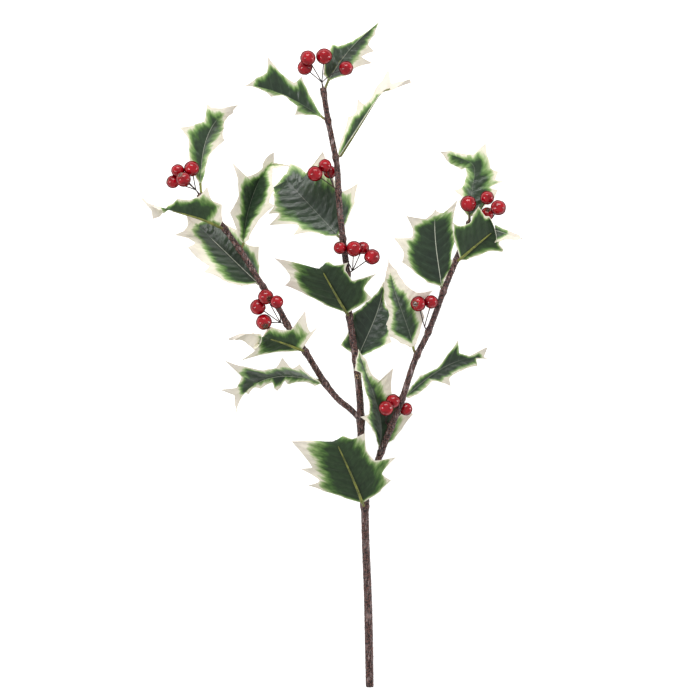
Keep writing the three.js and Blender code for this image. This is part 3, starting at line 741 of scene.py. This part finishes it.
leaves["leaf_left_3"] = dict(
    stem="left_branch", at=401, shift=(-1, 0, -4), stalk=5, length=103, heading=(138, 136, 142),
    rise=(-10, -12, -12), roll=(-15, -20, -20), fold=(30, 0), lean=(0.35, 0.35), green=(0.1, 0.2),
    pale=0.9, tipCream=14, blend=1, cream=(7, 2),
    left=[(1, 2.2, 2, 19, 9, 28, 14, 32), (27, 43, 33, 31), (58, 38, 64, 23), (84, 28, 85, 17, 94, 5)],
    right=[(1, 5, 8, 15), (18, 29, 31, 22), (48, 25, 65, 21), (83, 16, 94, 9)],
)
leaves["leaf_left_4"] = dict(
    stem="left_branch", at=439, shift=(4, 0, 0), stalk=6, length=105, heading=(88, 70, 50),
    rise=(15, 8, -5), roll=(5, 5, 5), fold=(45, 40), bend=(84, 12, -58), lean=(0.4, 0.4), green=(0.1, 0.1),
    pale=0.2, tipCream=8, blend=1, cream=(4, 6),
    left=[(5, 8, 22, 21), (39, 17, 48, 23), (58, 40, 59, 16, 76, 4), (86, 15, 88, 2.4)],
    right=[(2, 7, 18, 15), (36, 36, 41, 25, 55, 24, 72, 13, 85, 8)],
)
leaves["leaf_left_5"] = dict(
    stem="left_branch", at=336, shift=(0, 0, 3), stalk=5, length=76, heading=(156, 166, 184),
    rise=(15, 10, -5), roll=(190, 190, 190), fold=(5, 30), lean=(-0.2, 0.8), twist=(40, 10, -150),
    green=(0.3, 0.2), tipCream=30, footCream=3, blend=1.2, cream=(2, 2.5),
    left=[(1, 28, 2.5, 20), (18, 38, 20, 15, 29, 12, 36, 12), (45, 19, 55, 15, 68, 6)],
    right=[(5, 10, 14, 23), (18, 40, 31, 15, 38, 13), (50, 4, 60, 2)],
)
leaves["leaf_left_6"] = dict(
    stem="left_branch", at=304, shift=(-2, 0, 0), stalk=3, length=103, heading=(160, 192, 261),
    rise=(10, 5, -5), roll=(60, 30, 0), fold=(20, 25), lean=(0.2, 0.3), green=(0.3, 0.3), pale=0.6,
    tipCream=16, blend=1.1, cream=(2, 3),
    left=[(3, 6), (26, 7, 30, 9, 33, 8, 36, 5), (39, 12, 43, 15, 47, 12, 50, 5), (64, 7, 71, 2.4),
          (80, 4, 81, 0.3)],
    right=[(3, 22, 8, 16), (19, 36, 27, 20), (33, 38, 43, 16, 53, 15, 63, 30), (68, 50, 70, 19, 80, 12),
           (86, 24, 87, 8, 95, 4)],
)
leaves["leaf_right_1"] = dict(
    stem="right_branch", at=465, shift=(0, 2, 0), stalk=5, length=92, heading=(88, 82, 92),
    rise=(-25, -12, 5), roll=(-5, 0, 0), fold=(-15, -8), bend=(54, 18, 74), lean=(0.3, 0.3),
    green=(0.35, 0.3), pale=0.1, tipCream=9, blend=1.4, cream=(2, 2),
    left=[(13, 13), (22, 19, 29, 10, 41, 8, 54, 12), (74, 9, 80, 7)],
    right=[(3, 10, 18, 24), (26, 26), (34, 31, 37, 22), (45, 24, 48, 16, 53, 17),
           (56, 25, 58, 9, 64, 6, 80, 4)],
)
leaves["leaf_right_2"] = dict(
    stem="right_branch", at=428, shift=(0, -3, 3), stalk=6, length=74, heading=(42, 39, 36),
    rise=(20, 10, -10), roll=(180, 180, 175), fold=(10, 10), bend=(46, 8, -56), lean=(0.2, 0.3),
    twist=(45, 4, -150), green=(0.7, 0.8), tipCream=14, blend=1.0, cream=(0.5, -0.5),
    left=[(3, 5, 15, 10, 23, 12), (33, 22, 36, 21, 37, 14, 44, 10), (49, 4.5, 60, 4, 70, 3.5)],
    right=[(2, 19, 4, 25), (8, 33, 14, 25, 24, 22, 31, 27), (39, 29, 42, 17, 45, 15),
           (49, 15, 54, 12, 60, 6, 70, 4)],
)
leaves["leaf_right_3"] = dict(
    stem="right_branch", at=396, shift=(-1, 0, -4), stalk=5, length=80, heading=(97, 97, 84),
    rise=(10, 12, 10), roll=(-15, -20, -20), fold=(-12, 14), lean=(0.35, 1), green=(0.3, 0.5), pale=0.9,
    tipCream=7, blend=1.1, cream=(3, -1),
    left=[(1, 2.4, 2, 14, 10, 25), (19, 36, 29, 33), (41, 41, 46, 23, 52, 22), (64, 29, 65, 20, 67, 9)],
    right=[(1, 5), (6, 20), (25, 21, 39, 19), (66, 23, 67, 9)],
)
leaves["leaf_right_4"] = dict(
    stem="right_branch", at=333, shift=(-3, 0, 0), stalk=8, length=92, heading=(98, 110, 92),
    rise=(12, 0, -8), roll=(15, 25, 30), fold=(2, -15), lean=(-0.1, 0.5), green=(0, 0), pale=0.15,
    tipCream=14, blend=0.9, cream=(5.5, 7.5),
    left=[(1, 3.8, 8, 12, 19, 21), (33, 21, 41, 14, 55, 13), (70, 10, 81, 5)],
    right=[(1, 4, 7, 10), (16, 19, 28, 19), (29, 36, 43, 19, 62, 11, 76, 7)],
)
leaves["leaf_right_5"] = dict(
    stem="right_branch", at=289, shift=(0, 0, 0), stalk=4, length=98, heading=(38, 30, -17),
    rise=(-8, -5, 2), roll=(-35, -35, -35), fold=(-5, -8), lean=(0.3, 0.3), green=(0.7, 0.1), pale=0.2,
    tipCream=8, blend=0.7, cream=(0, 4),
    left=[(11, 5, 22, 8, 32, 5, 42, 3.5, 54, 12), (64, 23, 65, 9, 76, 3.4), (89, 15, 90, 1.7)],
    right=[(1, 6, 9, 9, 21, 9), (30, 7, 35, 18), (38, 27, 46, 16, 61, 15), (81, 11, 83, 1.4)],
)
leaves["leaf_right_6"] = dict(
    stem="right_branch", at=236, shift=(-3, 0, -4), stalk=5, length=104, heading=(71, 108, 102),
    rise=(8, 12, 14), roll=(-8, -8, 0), fold=(45, -12), lean=(0.3, 0.4), green=(0.2, 0.2), pale=0.15,
    tipCream=3, blend=1.3, cream=(0, 4),
    left=[(5, 7, 16, 16), (30, 32, 34, 17, 50, 11, 59, 11), (66, 10, 79, 7), (83, 15, 93, 8)],
    right=[(1, 6, 4, 14, 10, 22), (17, 35, 27, 25, 40, 18), (60, 29, 61, 11, 75, 5, 89, 5)],
)


# A value at shares of the way from the foot, from its values at the foot, middle and tip.
def along(values, share):
    start, middle, end = values
    return (
        start * (1 - share) * (1 - 2 * share) + middle * 4 * share * (1 - share)
        + end * share * (2 * share - 1)
    )


def easeInOut(share):
    share = np.clip(share, 0, 1)
    return share * share * (3 - 2 * share)


# How much of a turn is done at each place.
def turned(places, at, over):
    return easeInOut((places - at) / over + 0.5)


# The midrib's direction, and the blade's left and front, at distances from the blade's foot.
def ribFrames(leaf, distances):
    share = (leaf["stalk"] + distances) / (leaf["stalk"] + leaf["length"])
    angles = []
    for angle, turn in (("heading", "bend"), ("rise", "tuck"), ("roll", "twist")):
        degrees = along(leaf[angle], share)
        if turn in leaf:
            at, over, amount = leaf[turn]
            degrees = degrees + amount * turned(distances, at, over)
        angles.append(np.radians(degrees))
    heading, rise, roll = angles
    side = np.stack([-np.sin(heading), np.cos(heading), 0 * heading], -1)
    flat = np.stack([np.cos(heading), np.sin(heading), 0 * heading], -1)
    sky = np.array([0.0, 0.0, 1.0])
    cosRise, sinRise, cosRoll, sinRoll = (f(a)[..., None] for a in (rise, roll) for f in (np.cos, np.sin))
    way = flat * cosRise + sky * sinRise
    up = sky * cosRise - flat * sinRise
    return way, side * cosRoll - up * sinRoll, up * cosRoll + side * sinRoll


# One half's outline as (rib root, reach), with a hollow wherever a spine lists none.
def outlineOf(leaf, spines):
    points = [(0, bladeBuild["footReach"])]
    for (root, reach, *hollow), after in zip(spines, [*spines[1:], None]):
        points.append((root, reach))
        if hollow:
            points.extend(zip(hollow[::2], hollow[1::2]))
        elif after:
            points.append((root + 0.4 * (after[0] - root), 0.66 * min(reach, after[1])))
        else:
            points.append((root + 0.3 * (leaf["length"] - root), 0.35 * reach))
    points.append((leaf["length"], bladeBuild["tipReach"]))
    return points


# The blade's half width: full up to the first spine, and hollow between spines.
def reachAlong(outline, roots):
    result = np.zeros(len(roots))
    curve = bladeBuild["footCurve"]
    for (start, low), (end, high) in zip(outline, outline[1:]):
        inside = (roots >= start) & (roots <= end)
        share = np.clip((roots[inside] - start) / max(end - start, 1e-6), 0, 1)
        if high > low:
            result[inside] = low + (high - low) * share ** curve
        else:
            result[inside] = high + (low - high) * (1 - share) ** bladeBuild["hollowCurve"]
        curve = bladeBuild["spineCurve"]
    return result


# How far out the green print goes: through the hollows, a little way into each spine, ending in a
# point before the tip. Also how tall the spine is there.
def greenReach(outline, roots, leaf, side):
    hollows = [(0, outline[0][1] + 2)]
    for before, point, after in zip(outline, outline[1:], outline[2:]):
        if point[1] <= before[1] or point[1] <= after[1]:
            hollows.append((point[0], point[1] - leaf["cream"][side]))
    hollows.append((leaf["length"], 0))
    line = np.interp(roots, *zip(*hollows))
    height = np.clip(reachAlong(outline, roots) - line, 0, None)
    point = bladeBuild["greenPoint"] * (leaf["length"] - leaf["tipCream"] - roots)
    return np.minimum(line + leaf["green"][side] * height, point), height


def gapToOutline(points, outline):
    best = np.full(len(points), 1e9)
    for a, b in zip(outline, outline[1:]):
        edge = b - a
        share = np.clip(((points - a) @ edge) / max(edge @ edge, 1e-9), 0, 1)
        best = np.minimum(best, np.linalg.norm(points - a - share[:, None] * edge, axis=1))
    return best


# Where a tucked or twisted end begins and ends to turn.
def turnSpan(leaf):
    turn = leaf.get("tuck") or leaf.get("twist")
    return turn and (turn[0] - turn[1] / 2, turn[0] + turn[1] / 2)


# Rows at even steps, closer in a turn, and one at each point of the outlines.
def bladeRows(leaf, outlines):
    fixed = {float(root) for outline in outlines for root, reach in outline}
    stops = fixed | set(np.arange(0, leaf["length"], bladeBuild["rowStep"]).tolist())
    if turnSpan(leaf):
        stops.update(np.arange(*turnSpan(leaf), bladeBuild["turnStep"]).tolist())
    rows = sorted(stops)
    kept = rows[:1]
    for row in rows[1:]:
        if row - kept[-1] > bladeBuild["rowGap"]:
            kept.append(row)
        elif row in fixed:
            kept[-1] = row
    return np.array(kept)


# A repeatable soft bump pattern between -1 and 1.
def smoothNoise(a, b, seed):
    first = np.sin(a + 1.7 * np.sin(b * 0.61 + seed))
    return (first + np.sin(b * 1.13 + 1.3 * np.sin(a * 0.83 + 2.1 * seed))) / 2


# The blade's middle surface as a grid: rows along the midrib, columns from left edge to right.
def bladePoints(leaf, foot, seed):
    build = bladeBuild
    outlines = [outlineOf(leaf, leaf["left"]), outlineOf(leaf, leaf["right"])]
    rows = bladeRows(leaf, outlines)
    fine = np.arange(0, leaf["length"] + build["ribStep"], build["ribStep"])
    way = ribFrames(leaf, fine)[0]
    steps = np.cumsum((way[1:] + way[:-1]) / 2 * build["ribStep"], axis=0)
    centre = placesOn(foot + np.concatenate([[[0, 0, 0]], steps]), fine, rows)
    way, left, front = ribFrames(leaf, rows)
    shares = np.linspace(0, 1, build["columns"] + 1) ** 0.9
    halves = []
    for side, sign in ((0, 1), (1, -1)):
        reach = reachAlong(outlines[side], rows)
        green, height = (a[:, None] for a in greenReach(outlines[side], rows, leaf, side))
        v = reach[:, None] * shares
        u = np.repeat(rows[:, None], len(shares), 1)
        lean = leaf["lean"][side]
        if "twist" in leaf:
            lean = lean * (1 - turned(u, *leaf["twist"][:2]))
        flat = np.stack([u + lean * v, sign * v], -1)
        rim = gapToOutline(flat.reshape(-1, 2), flat[:, -1]).reshape(v.shape)
        vein = u - (build["veinSlant"] - lean) * v - build["veinBend"] * v * v
        phase = vein / build["veinSpacing"]
        puff = np.abs(np.sin(np.pi * phase)) ** 0.8 - 0.55
        inner = easeInOut((v - 1.0) / 6) * easeInOut((rim - 0.6) / 5)
        puff = puff * build["quilt"] * inner * (1.1 + 0.5 * np.sin(np.floor(phase) * 2.4 + seed))
        crinkle = build["crinkle"] * smoothNoise(vein * 1.1, v * 0.75, seed) * easeInOut(v / 4)
        spine = np.clip(v - green, 0, None)
        curl = build["spineLift"] * np.sin(u * 0.13 + seed * 1.9 + side) * (spine / 10) ** 1.3
        wave = build["wave"] * np.sin(u * 0.16 + seed + 2 * side) * (v / 30) ** 2
        groove = -build["groove"] * hump(v, build["grooveWidth"])
        lift = puff + crinkle + curl + wave - build["droop"] * v * v + groove
        fold = np.radians(leaf["fold"][side])
        points = (
            centre[:, None] + way[:, None] * (lean * v)[..., None]
            + left[:, None] * (sign * (v * np.cos(fold) - lift * np.sin(fold)))[..., None]
            + front[:, None] * (v * np.sin(fold) + lift * np.cos(fold))[..., None]
        )
        edge = (v - green) / (1 + height / build["softness"])
        edge = np.where(edge < 0, edge / leaf["blend"], edge)
        edge = np.maximum(edge, np.minimum(v - 3, leaf.get("footCream", -30) - u))
        halves.append((points, vein, sign * v, edge, rim))
    order = [np.flip(a, 1) for a in halves[0]], [a[:, 1:] for a in halves[1]]
    return *(np.concatenate(pair, 1) for pair in zip(*order)), front


def gridNormals(grid, front):
    normal = np.cross(np.gradient(grid, axis=1), np.gradient(grid, axis=0))
    normal /= np.maximum(np.linalg.norm(normal, axis=2, keepdims=True), 1e-9)
    turnedOver = np.sum(normal[:, grid.shape[1] // 2] * front) < 0
    return -normal if turnedOver else normal


# The blade as a thin closed shell, eased off the table, with the values that its print needs.
def bladeMesh(name, leaf, foot, seed):
    build = bladeBuild
    grid, vein, across, edge, rim, front = bladePoints(leaf, foot, seed)
    normal = gridNormals(grid, front)
    low, ease = tableHeight + build["tableGap"], build["tableEase"]
    above = grid[..., 2] - low
    grid[..., 2] = low + np.where(above < ease, ease * np.exp(np.minimum(above, ease) / ease - 1), above)
    half = normal * build["thickness"] / 2
    points = np.concatenate([(grid + half).reshape(-1, 3), (grid - half).reshape(-1, 3)])
    middle, size = grid.shape[1] // 2, vein.size
    index = np.arange(size).reshape(vein.shape)
    a, b, c, d = (part.ravel() for part in (index[:-1, :-1], index[:-1, 1:], index[1:, 1:], index[1:, :-1]))
    around = np.concatenate([index[0], index[1:, -1], index[-1, -2::-1], index[-2:0:-1, 0]])
    onward = np.roll(around, -1)
    faces = np.concatenate([
        np.stack([a, d, c, b], -1), np.stack([a, b, c, d], -1) + size,
        np.stack([around, onward, onward + size, around + size], -1),
    ])
    first = points[faces[middle]]
    if np.cross(first[1] - first[0], first[2] - first[0]) @ normal[0, middle] < 0:
        faces = faces[:, ::-1]
    mesh = bpy.data.meshes.new(name)
    mesh.from_pydata(toFrame(points).tolist(), [], faces.tolist())
    for material in (leafFront, leafBack, leafRim):
        mesh.materials.append(material)
    mesh.polygons.foreach_set("material_index", [0] * len(a) + [1] * len(a) + [2] * len(around))
    mesh.shade_smooth()
    mesh.set_sharp_from_angle(angle=math.radians(build["sharpAngle"]))
    place = np.stack([vein, across, np.full(vein.shape, 7.0 * seed)], -1).reshape(-1, 3)
    storeValues(mesh, "leafPlace", np.tile(place, (2, 1)), "FLOAT_VECTOR")
    spread = np.maximum(edge, (build["bareRim"] - rim) * 2).ravel()
    storeValues(mesh, "printEdge", np.tile(spread, 2))
    storeValues(mesh, "ribPale", np.full(2 * size, leaf.get("pale", 0.5)))
    return mesh


# Radii in millimetres from foot to end. Sink is how far the rib's middle lies under the blade.
ribBuild = {
    "stalk": 1.25, "flare": 0.5, "rib": (1.5, 0.55), "ribShare": 0.8, "sink": (0.4, 0.95),
    "sides": 10, "step": 0.0009, "pitDepth": 0.00025, "pitsPerMetre": 500.0, "tableGap": 0.1,
}


# From the stem to the blade's foot, and the foot itself.
def stalkLine(leaf):
    root = pointOn(leaf["stem"], leaf["at"])
    startWay, footWay = ribFrames(leaf, np.array([-float(leaf["stalk"]), 0.0]))[0]
    foot = root + np.array(leaf["shift"], float) + startWay * leaf["stalk"]
    knee = foot - footWay * 0.5 * np.linalg.norm(foot - root)
    first = root + unit(knee - root) * 1.2
    shares = np.linspace(0, 1, 10)[:, None]
    bend = (1 - shares) ** 2 * first + 2 * shares * (1 - shares) * knee + shares ** 2 * foot
    return bend, foot


def buildLeaf(name, leaf, seed):
    stalk, foot = stalkLine(leaf)
    settle(newObject(name + "_blade", bladeMesh(name + "_blade", leaf, foot, seed)), "leaf", name)
    reach = leaf["length"] * ribBuild["ribShare"]
    if turnSpan(leaf):
        reach = min(reach, turnSpan(leaf)[0] - 1)
    stops = np.arange(1.0, reach, 1.0)
    front = ribFrames(leaf, stops)[2]
    step = bladeBuild["ribStep"]
    fine = np.arange(0, leaf["length"], step)
    line = foot + np.cumsum(ribFrames(leaf, fine)[0] * step, axis=0)
    thick = fade(ribBuild["rib"], stops / reach)
    skinGap, radiusShare = ribBuild["sink"]
    ribLine = placesOn(line, fine, stops) - front * (skinGap + radiusShare * thick[:, None])
    stalkThick = ribBuild["stalk"] + ribBuild["flare"] * np.linspace(1, 0, len(stalk) - 1) ** 2
    line = np.vstack([stalk[:-1], ribLine])
    even, stops = resampled(line, 1.0)
    thick = np.interp(stops, lengthsAlong(line), np.concatenate([stalkThick, thick]))
    even[:, 2] = np.maximum(even[:, 2], tableHeight + thick + ribBuild["tableGap"])
    rib = growRod(name + "_rib", ribBuild, seed, ribPlastic, even, chain(len(even)), thick)
    markScars(rib, [(stalk[0], 4, 1.0)])
    settle(rib, "leaf")


# Way is how a pick leaves its stem. A berry's at is (x, y, z, radius), via a point that its wire
# passes, and end the way its calyx faces.
picks = [
    {"stem": "main_stem", "at": 599, "way": (-0.2, 1, 0.3), "berries": [
        {"at": (-60, 629, 45, 7)}, {"at": (-44, 631, 38, 7.3)}, {"at": (-63, 620, 32, 6.8)},
        {"at": (-22, 619, 38, 6.5), "via": (-36, 613, 40)}]},
    {"stem": "main_stem", "at": 496, "way": (-1, 1, 0.2), "berries": [
        {"at": (-53, 514, 38, 7)}, {"at": (-43, 522, 33, 6)}, {"at": (-38, 516, 21, 6)}]},
    {"stem": "main_stem", "at": 414, "way": (1, 0.6, 0.5), "berries": [
        {"at": (-28, 440, 38, 5.8), "via": (-20, 426, 33), "end": (0, 1, 0.35)}, {"at": (-14, 439, 38, 7.2)},
        {"at": (-5, 440, 26, 5.8)}, {"at": (4, 431, 36, 7.2)}]},
    {"stem": "left_branch", "at": 493, "way": (-0.6, 0.8, 0.4), "berries": [
        {"at": (-176, 519, 36, 7)}, {"at": (-190, 517, 33, 6)},
        {"at": (-195, 506, 29, 6), "end": (-0.9, 0.35, 0.3)},
        {"at": (-184, 508, 44, 6.8), "end": (-0.45, 0.65, 0.6)}]},
    {"stem": "left_branch", "at": 364, "way": (-1, 0.2, 0.3), "berries": [
        {"at": (-102, 391, 36, 7), "end": (0.45, -0.3, 0.8)},
        {"at": (-91, 386, 44, 6), "via": (-88, 374, 35)},
        {"at": (-110, 381, 28, 7.2)}, {"at": (-104, 366, 30, 7.2), "end": (0.2, -0.55, 0.8)}]},
    {"stem": "right_branch", "at": 456, "way": (0.8, 0.6, 0.3), "berries": [
        {"at": (100, 484, 36, 7.3)}, {"at": (119, 490, 29, 6.3)},
        {"at": (130, 480, 36, 7), "via": (123, 469, 20)}, {"at": (119, 474, 26, 6), "end": (0.1, 0.6, 0.8)}]},
    {"stem": "right_branch", "at": 356, "way": (-0.6, 0.8, 0.3), "berries": [
        {"at": (50, 384, 41, 7), "end": (-0.4, 0.0, 0.9)}, {"at": (63, 386, 37, 6.2)}]},
    {"stem": "right_branch", "at": 262, "way": (-1, 0.5, 0.1), "berries": [
        {"at": (18, 280, 40, 6.8)}, {"at": (25, 287, 31, 6.5)},
        {"at": (38, 279, 17, 6), "via": (24, 266, 14)}]},
]

# Radii in millimetres, evenly spaced along a wire and along the twisted shank.
pickBuild = {
    "wire": (0.55, 0.55, 0.55, 0.6), "shank": (1.15, 0.9, 0.85, 0.75, 0.5), "shankLength": 5.0,
    "sides": 8, "step": 0.0008, "pitDepth": 0.00012, "pitsPerMetre": 900.0,
    "plump": 1.1, "lumps": 0.16, "dent": 0.09, "stub": 0.13,
}


def buildBerry(name, middle, radius, facing, seed):
    build = pickBuild
    turn = Vector(unit(facing)).to_track_quat("Z", "Y").to_euler()
    ball = growPiece(name + "_ball", berryTree, {
        "Radius": radius * mm, "Centre": tuple(toFrame(middle)), "Turn": turn, "Lumps": build["lumps"],
        "Dent": build["dent"], "Stub": build["stub"], "Seed": seed, "Lacquer": berryLacquer,
        "Calyx": calyxBrown,
    })
    settle(ball, "berry", name)


def buildPick(index, pick, firstBerry):
    way = unit(np.array(pick["way"], float))
    root = pointOn(pick["stem"], pick["at"])
    foot = root + way * pickBuild["shankLength"]
    points, edges, thick = [], [], []

    def addLine(line, radii):
        edges.extend(chain(len(line), len(points)))
        points.extend(line)
        thick.extend(np.interp(np.linspace(0, 1, len(line)), np.linspace(0, 1, len(radii)), radii))

    addLine(np.linspace(root + way, foot + way * 0.8, 12), pickBuild["shank"])
    for number, berry in enumerate(pick["berries"], firstBerry):
        middle = np.array(berry["at"][:3], float)
        radius = berry["at"][3] * pickBuild["plump"]
        route = [foot - way * 0.6, foot + way]
        if "via" in berry:
            route.append(np.array(berry["via"], float))
        back = unit(route[-1] - middle)
        route.append(middle + back * (radius + 0.3))
        dense = np.vstack([smoothRoute(route, 16), middle + back * (radius - 0.8)])
        addLine(resampled(dense, 0.8)[0], pickBuild["wire"])
        facing = np.array(berry.get("end", -back * (1, 1, 0.3) + (0, 0, -0.75)), float)
        buildBerry(f"berry_{number}", middle, radius, facing, 3.7 * number)
    name = f"berry_pick_{index + 1}"
    wires = growRod(name + "_wires", pickBuild, index, wireCoat, points, edges, thick)
    settle(wires, "wire", name)


for seed, name in enumerate(stems):
    buildStem(name, seed + 1)
print("stems made")
for seed, (name, leaf) in enumerate(leaves.items()):
    buildLeaf(name, leaf, seed + 1)
print("leaves made:", len(leaves))
berryCount = 1
for index, pick in enumerate(picks):
    buildPick(index, pick, berryCount)
    berryCount += len(pick["berries"])
print("berries made:", berryCount - 1)

# Metres and watts. The camera looks down on viewPlan, a place in the plan.
studio = {
    "floorSize": 6.0, "floorShade": 0.92, "ambient": 0.56, "floorGlow": 0.7,
    "boxes": [
        {"name": "topBox", "at": (0.0, 1.9, 1.35), "size": (1.7, 0.8), "power": 31},
        {"name": "leftBox", "at": (-1.6, -0.1, 1.35), "size": (0.35, 0.9), "power": 11},
        {"name": "rightBox", "at": (2.1, 0.1, 0.4), "size": (0.4, 0.7), "power": 10},
    ],
    "viewPlan": (-18, 338, 20), "viewHeight": 7.0, "viewSpan": 0.7, "viewEnd": 20, "sensor": 36,
}


def makeFloor():
    half = studio["floorSize"] / 2
    mesh = bpy.data.meshes.new("floor")
    corners = [(x * half, y * half, 0) for x, y in ((-1, -1), (1, -1), (1, 1), (-1, 1))]
    mesh.from_pydata(corners, [], [(0, 1, 2, 3)])
    material = newMaterial("paleFloor", {
        "Roughness": 0.9, "Specular IOR Level": 0.1, "Base Color": (*[studio["floorShade"]] * 3, 1),
        "Emission Color": (1, 1, 1, 1), "Emission Strength": studio["floorGlow"],
    })[0]
    mesh.materials.append(material)
    newObject("floor", mesh)


def makeLights():
    for box in studio["boxes"]:
        light = bpy.data.lights.new(box["name"], "AREA")
        light.shape = "RECTANGLE"
        light.size, light.size_y = box["size"]
        light.energy = box["power"]
        holder = newObject(box["name"], light)
        holder.location = box["at"]
        holder.rotation_euler = (-Vector(box["at"])).to_track_quat("-Z", "Y").to_euler()
    world = bpy.data.worlds.new("studioAir")
    world.use_nodes = True
    air = world.node_tree.nodes["Background"].inputs
    air["Color"].default_value = (1, 1, 1, 1)
    air["Strength"].default_value = studio["ambient"]
    bpy.context.scene.world = world


def makeCamera():
    lens = bpy.data.cameras.new("overhead")
    lens.sensor_width = studio["sensor"]
    lens.lens = studio["sensor"] * studio["viewHeight"] / studio["viewSpan"]
    lens.clip_end = studio["viewEnd"]
    camera = newObject("overhead", lens)
    camera.location = toFrame(studio["viewPlan"]) + (0, 0, studio["viewHeight"])
    bpy.context.scene.camera = camera


makeFloor()
makeLights()
makeCamera()
bpy.context.scene.view_settings.view_transform = "Standard"
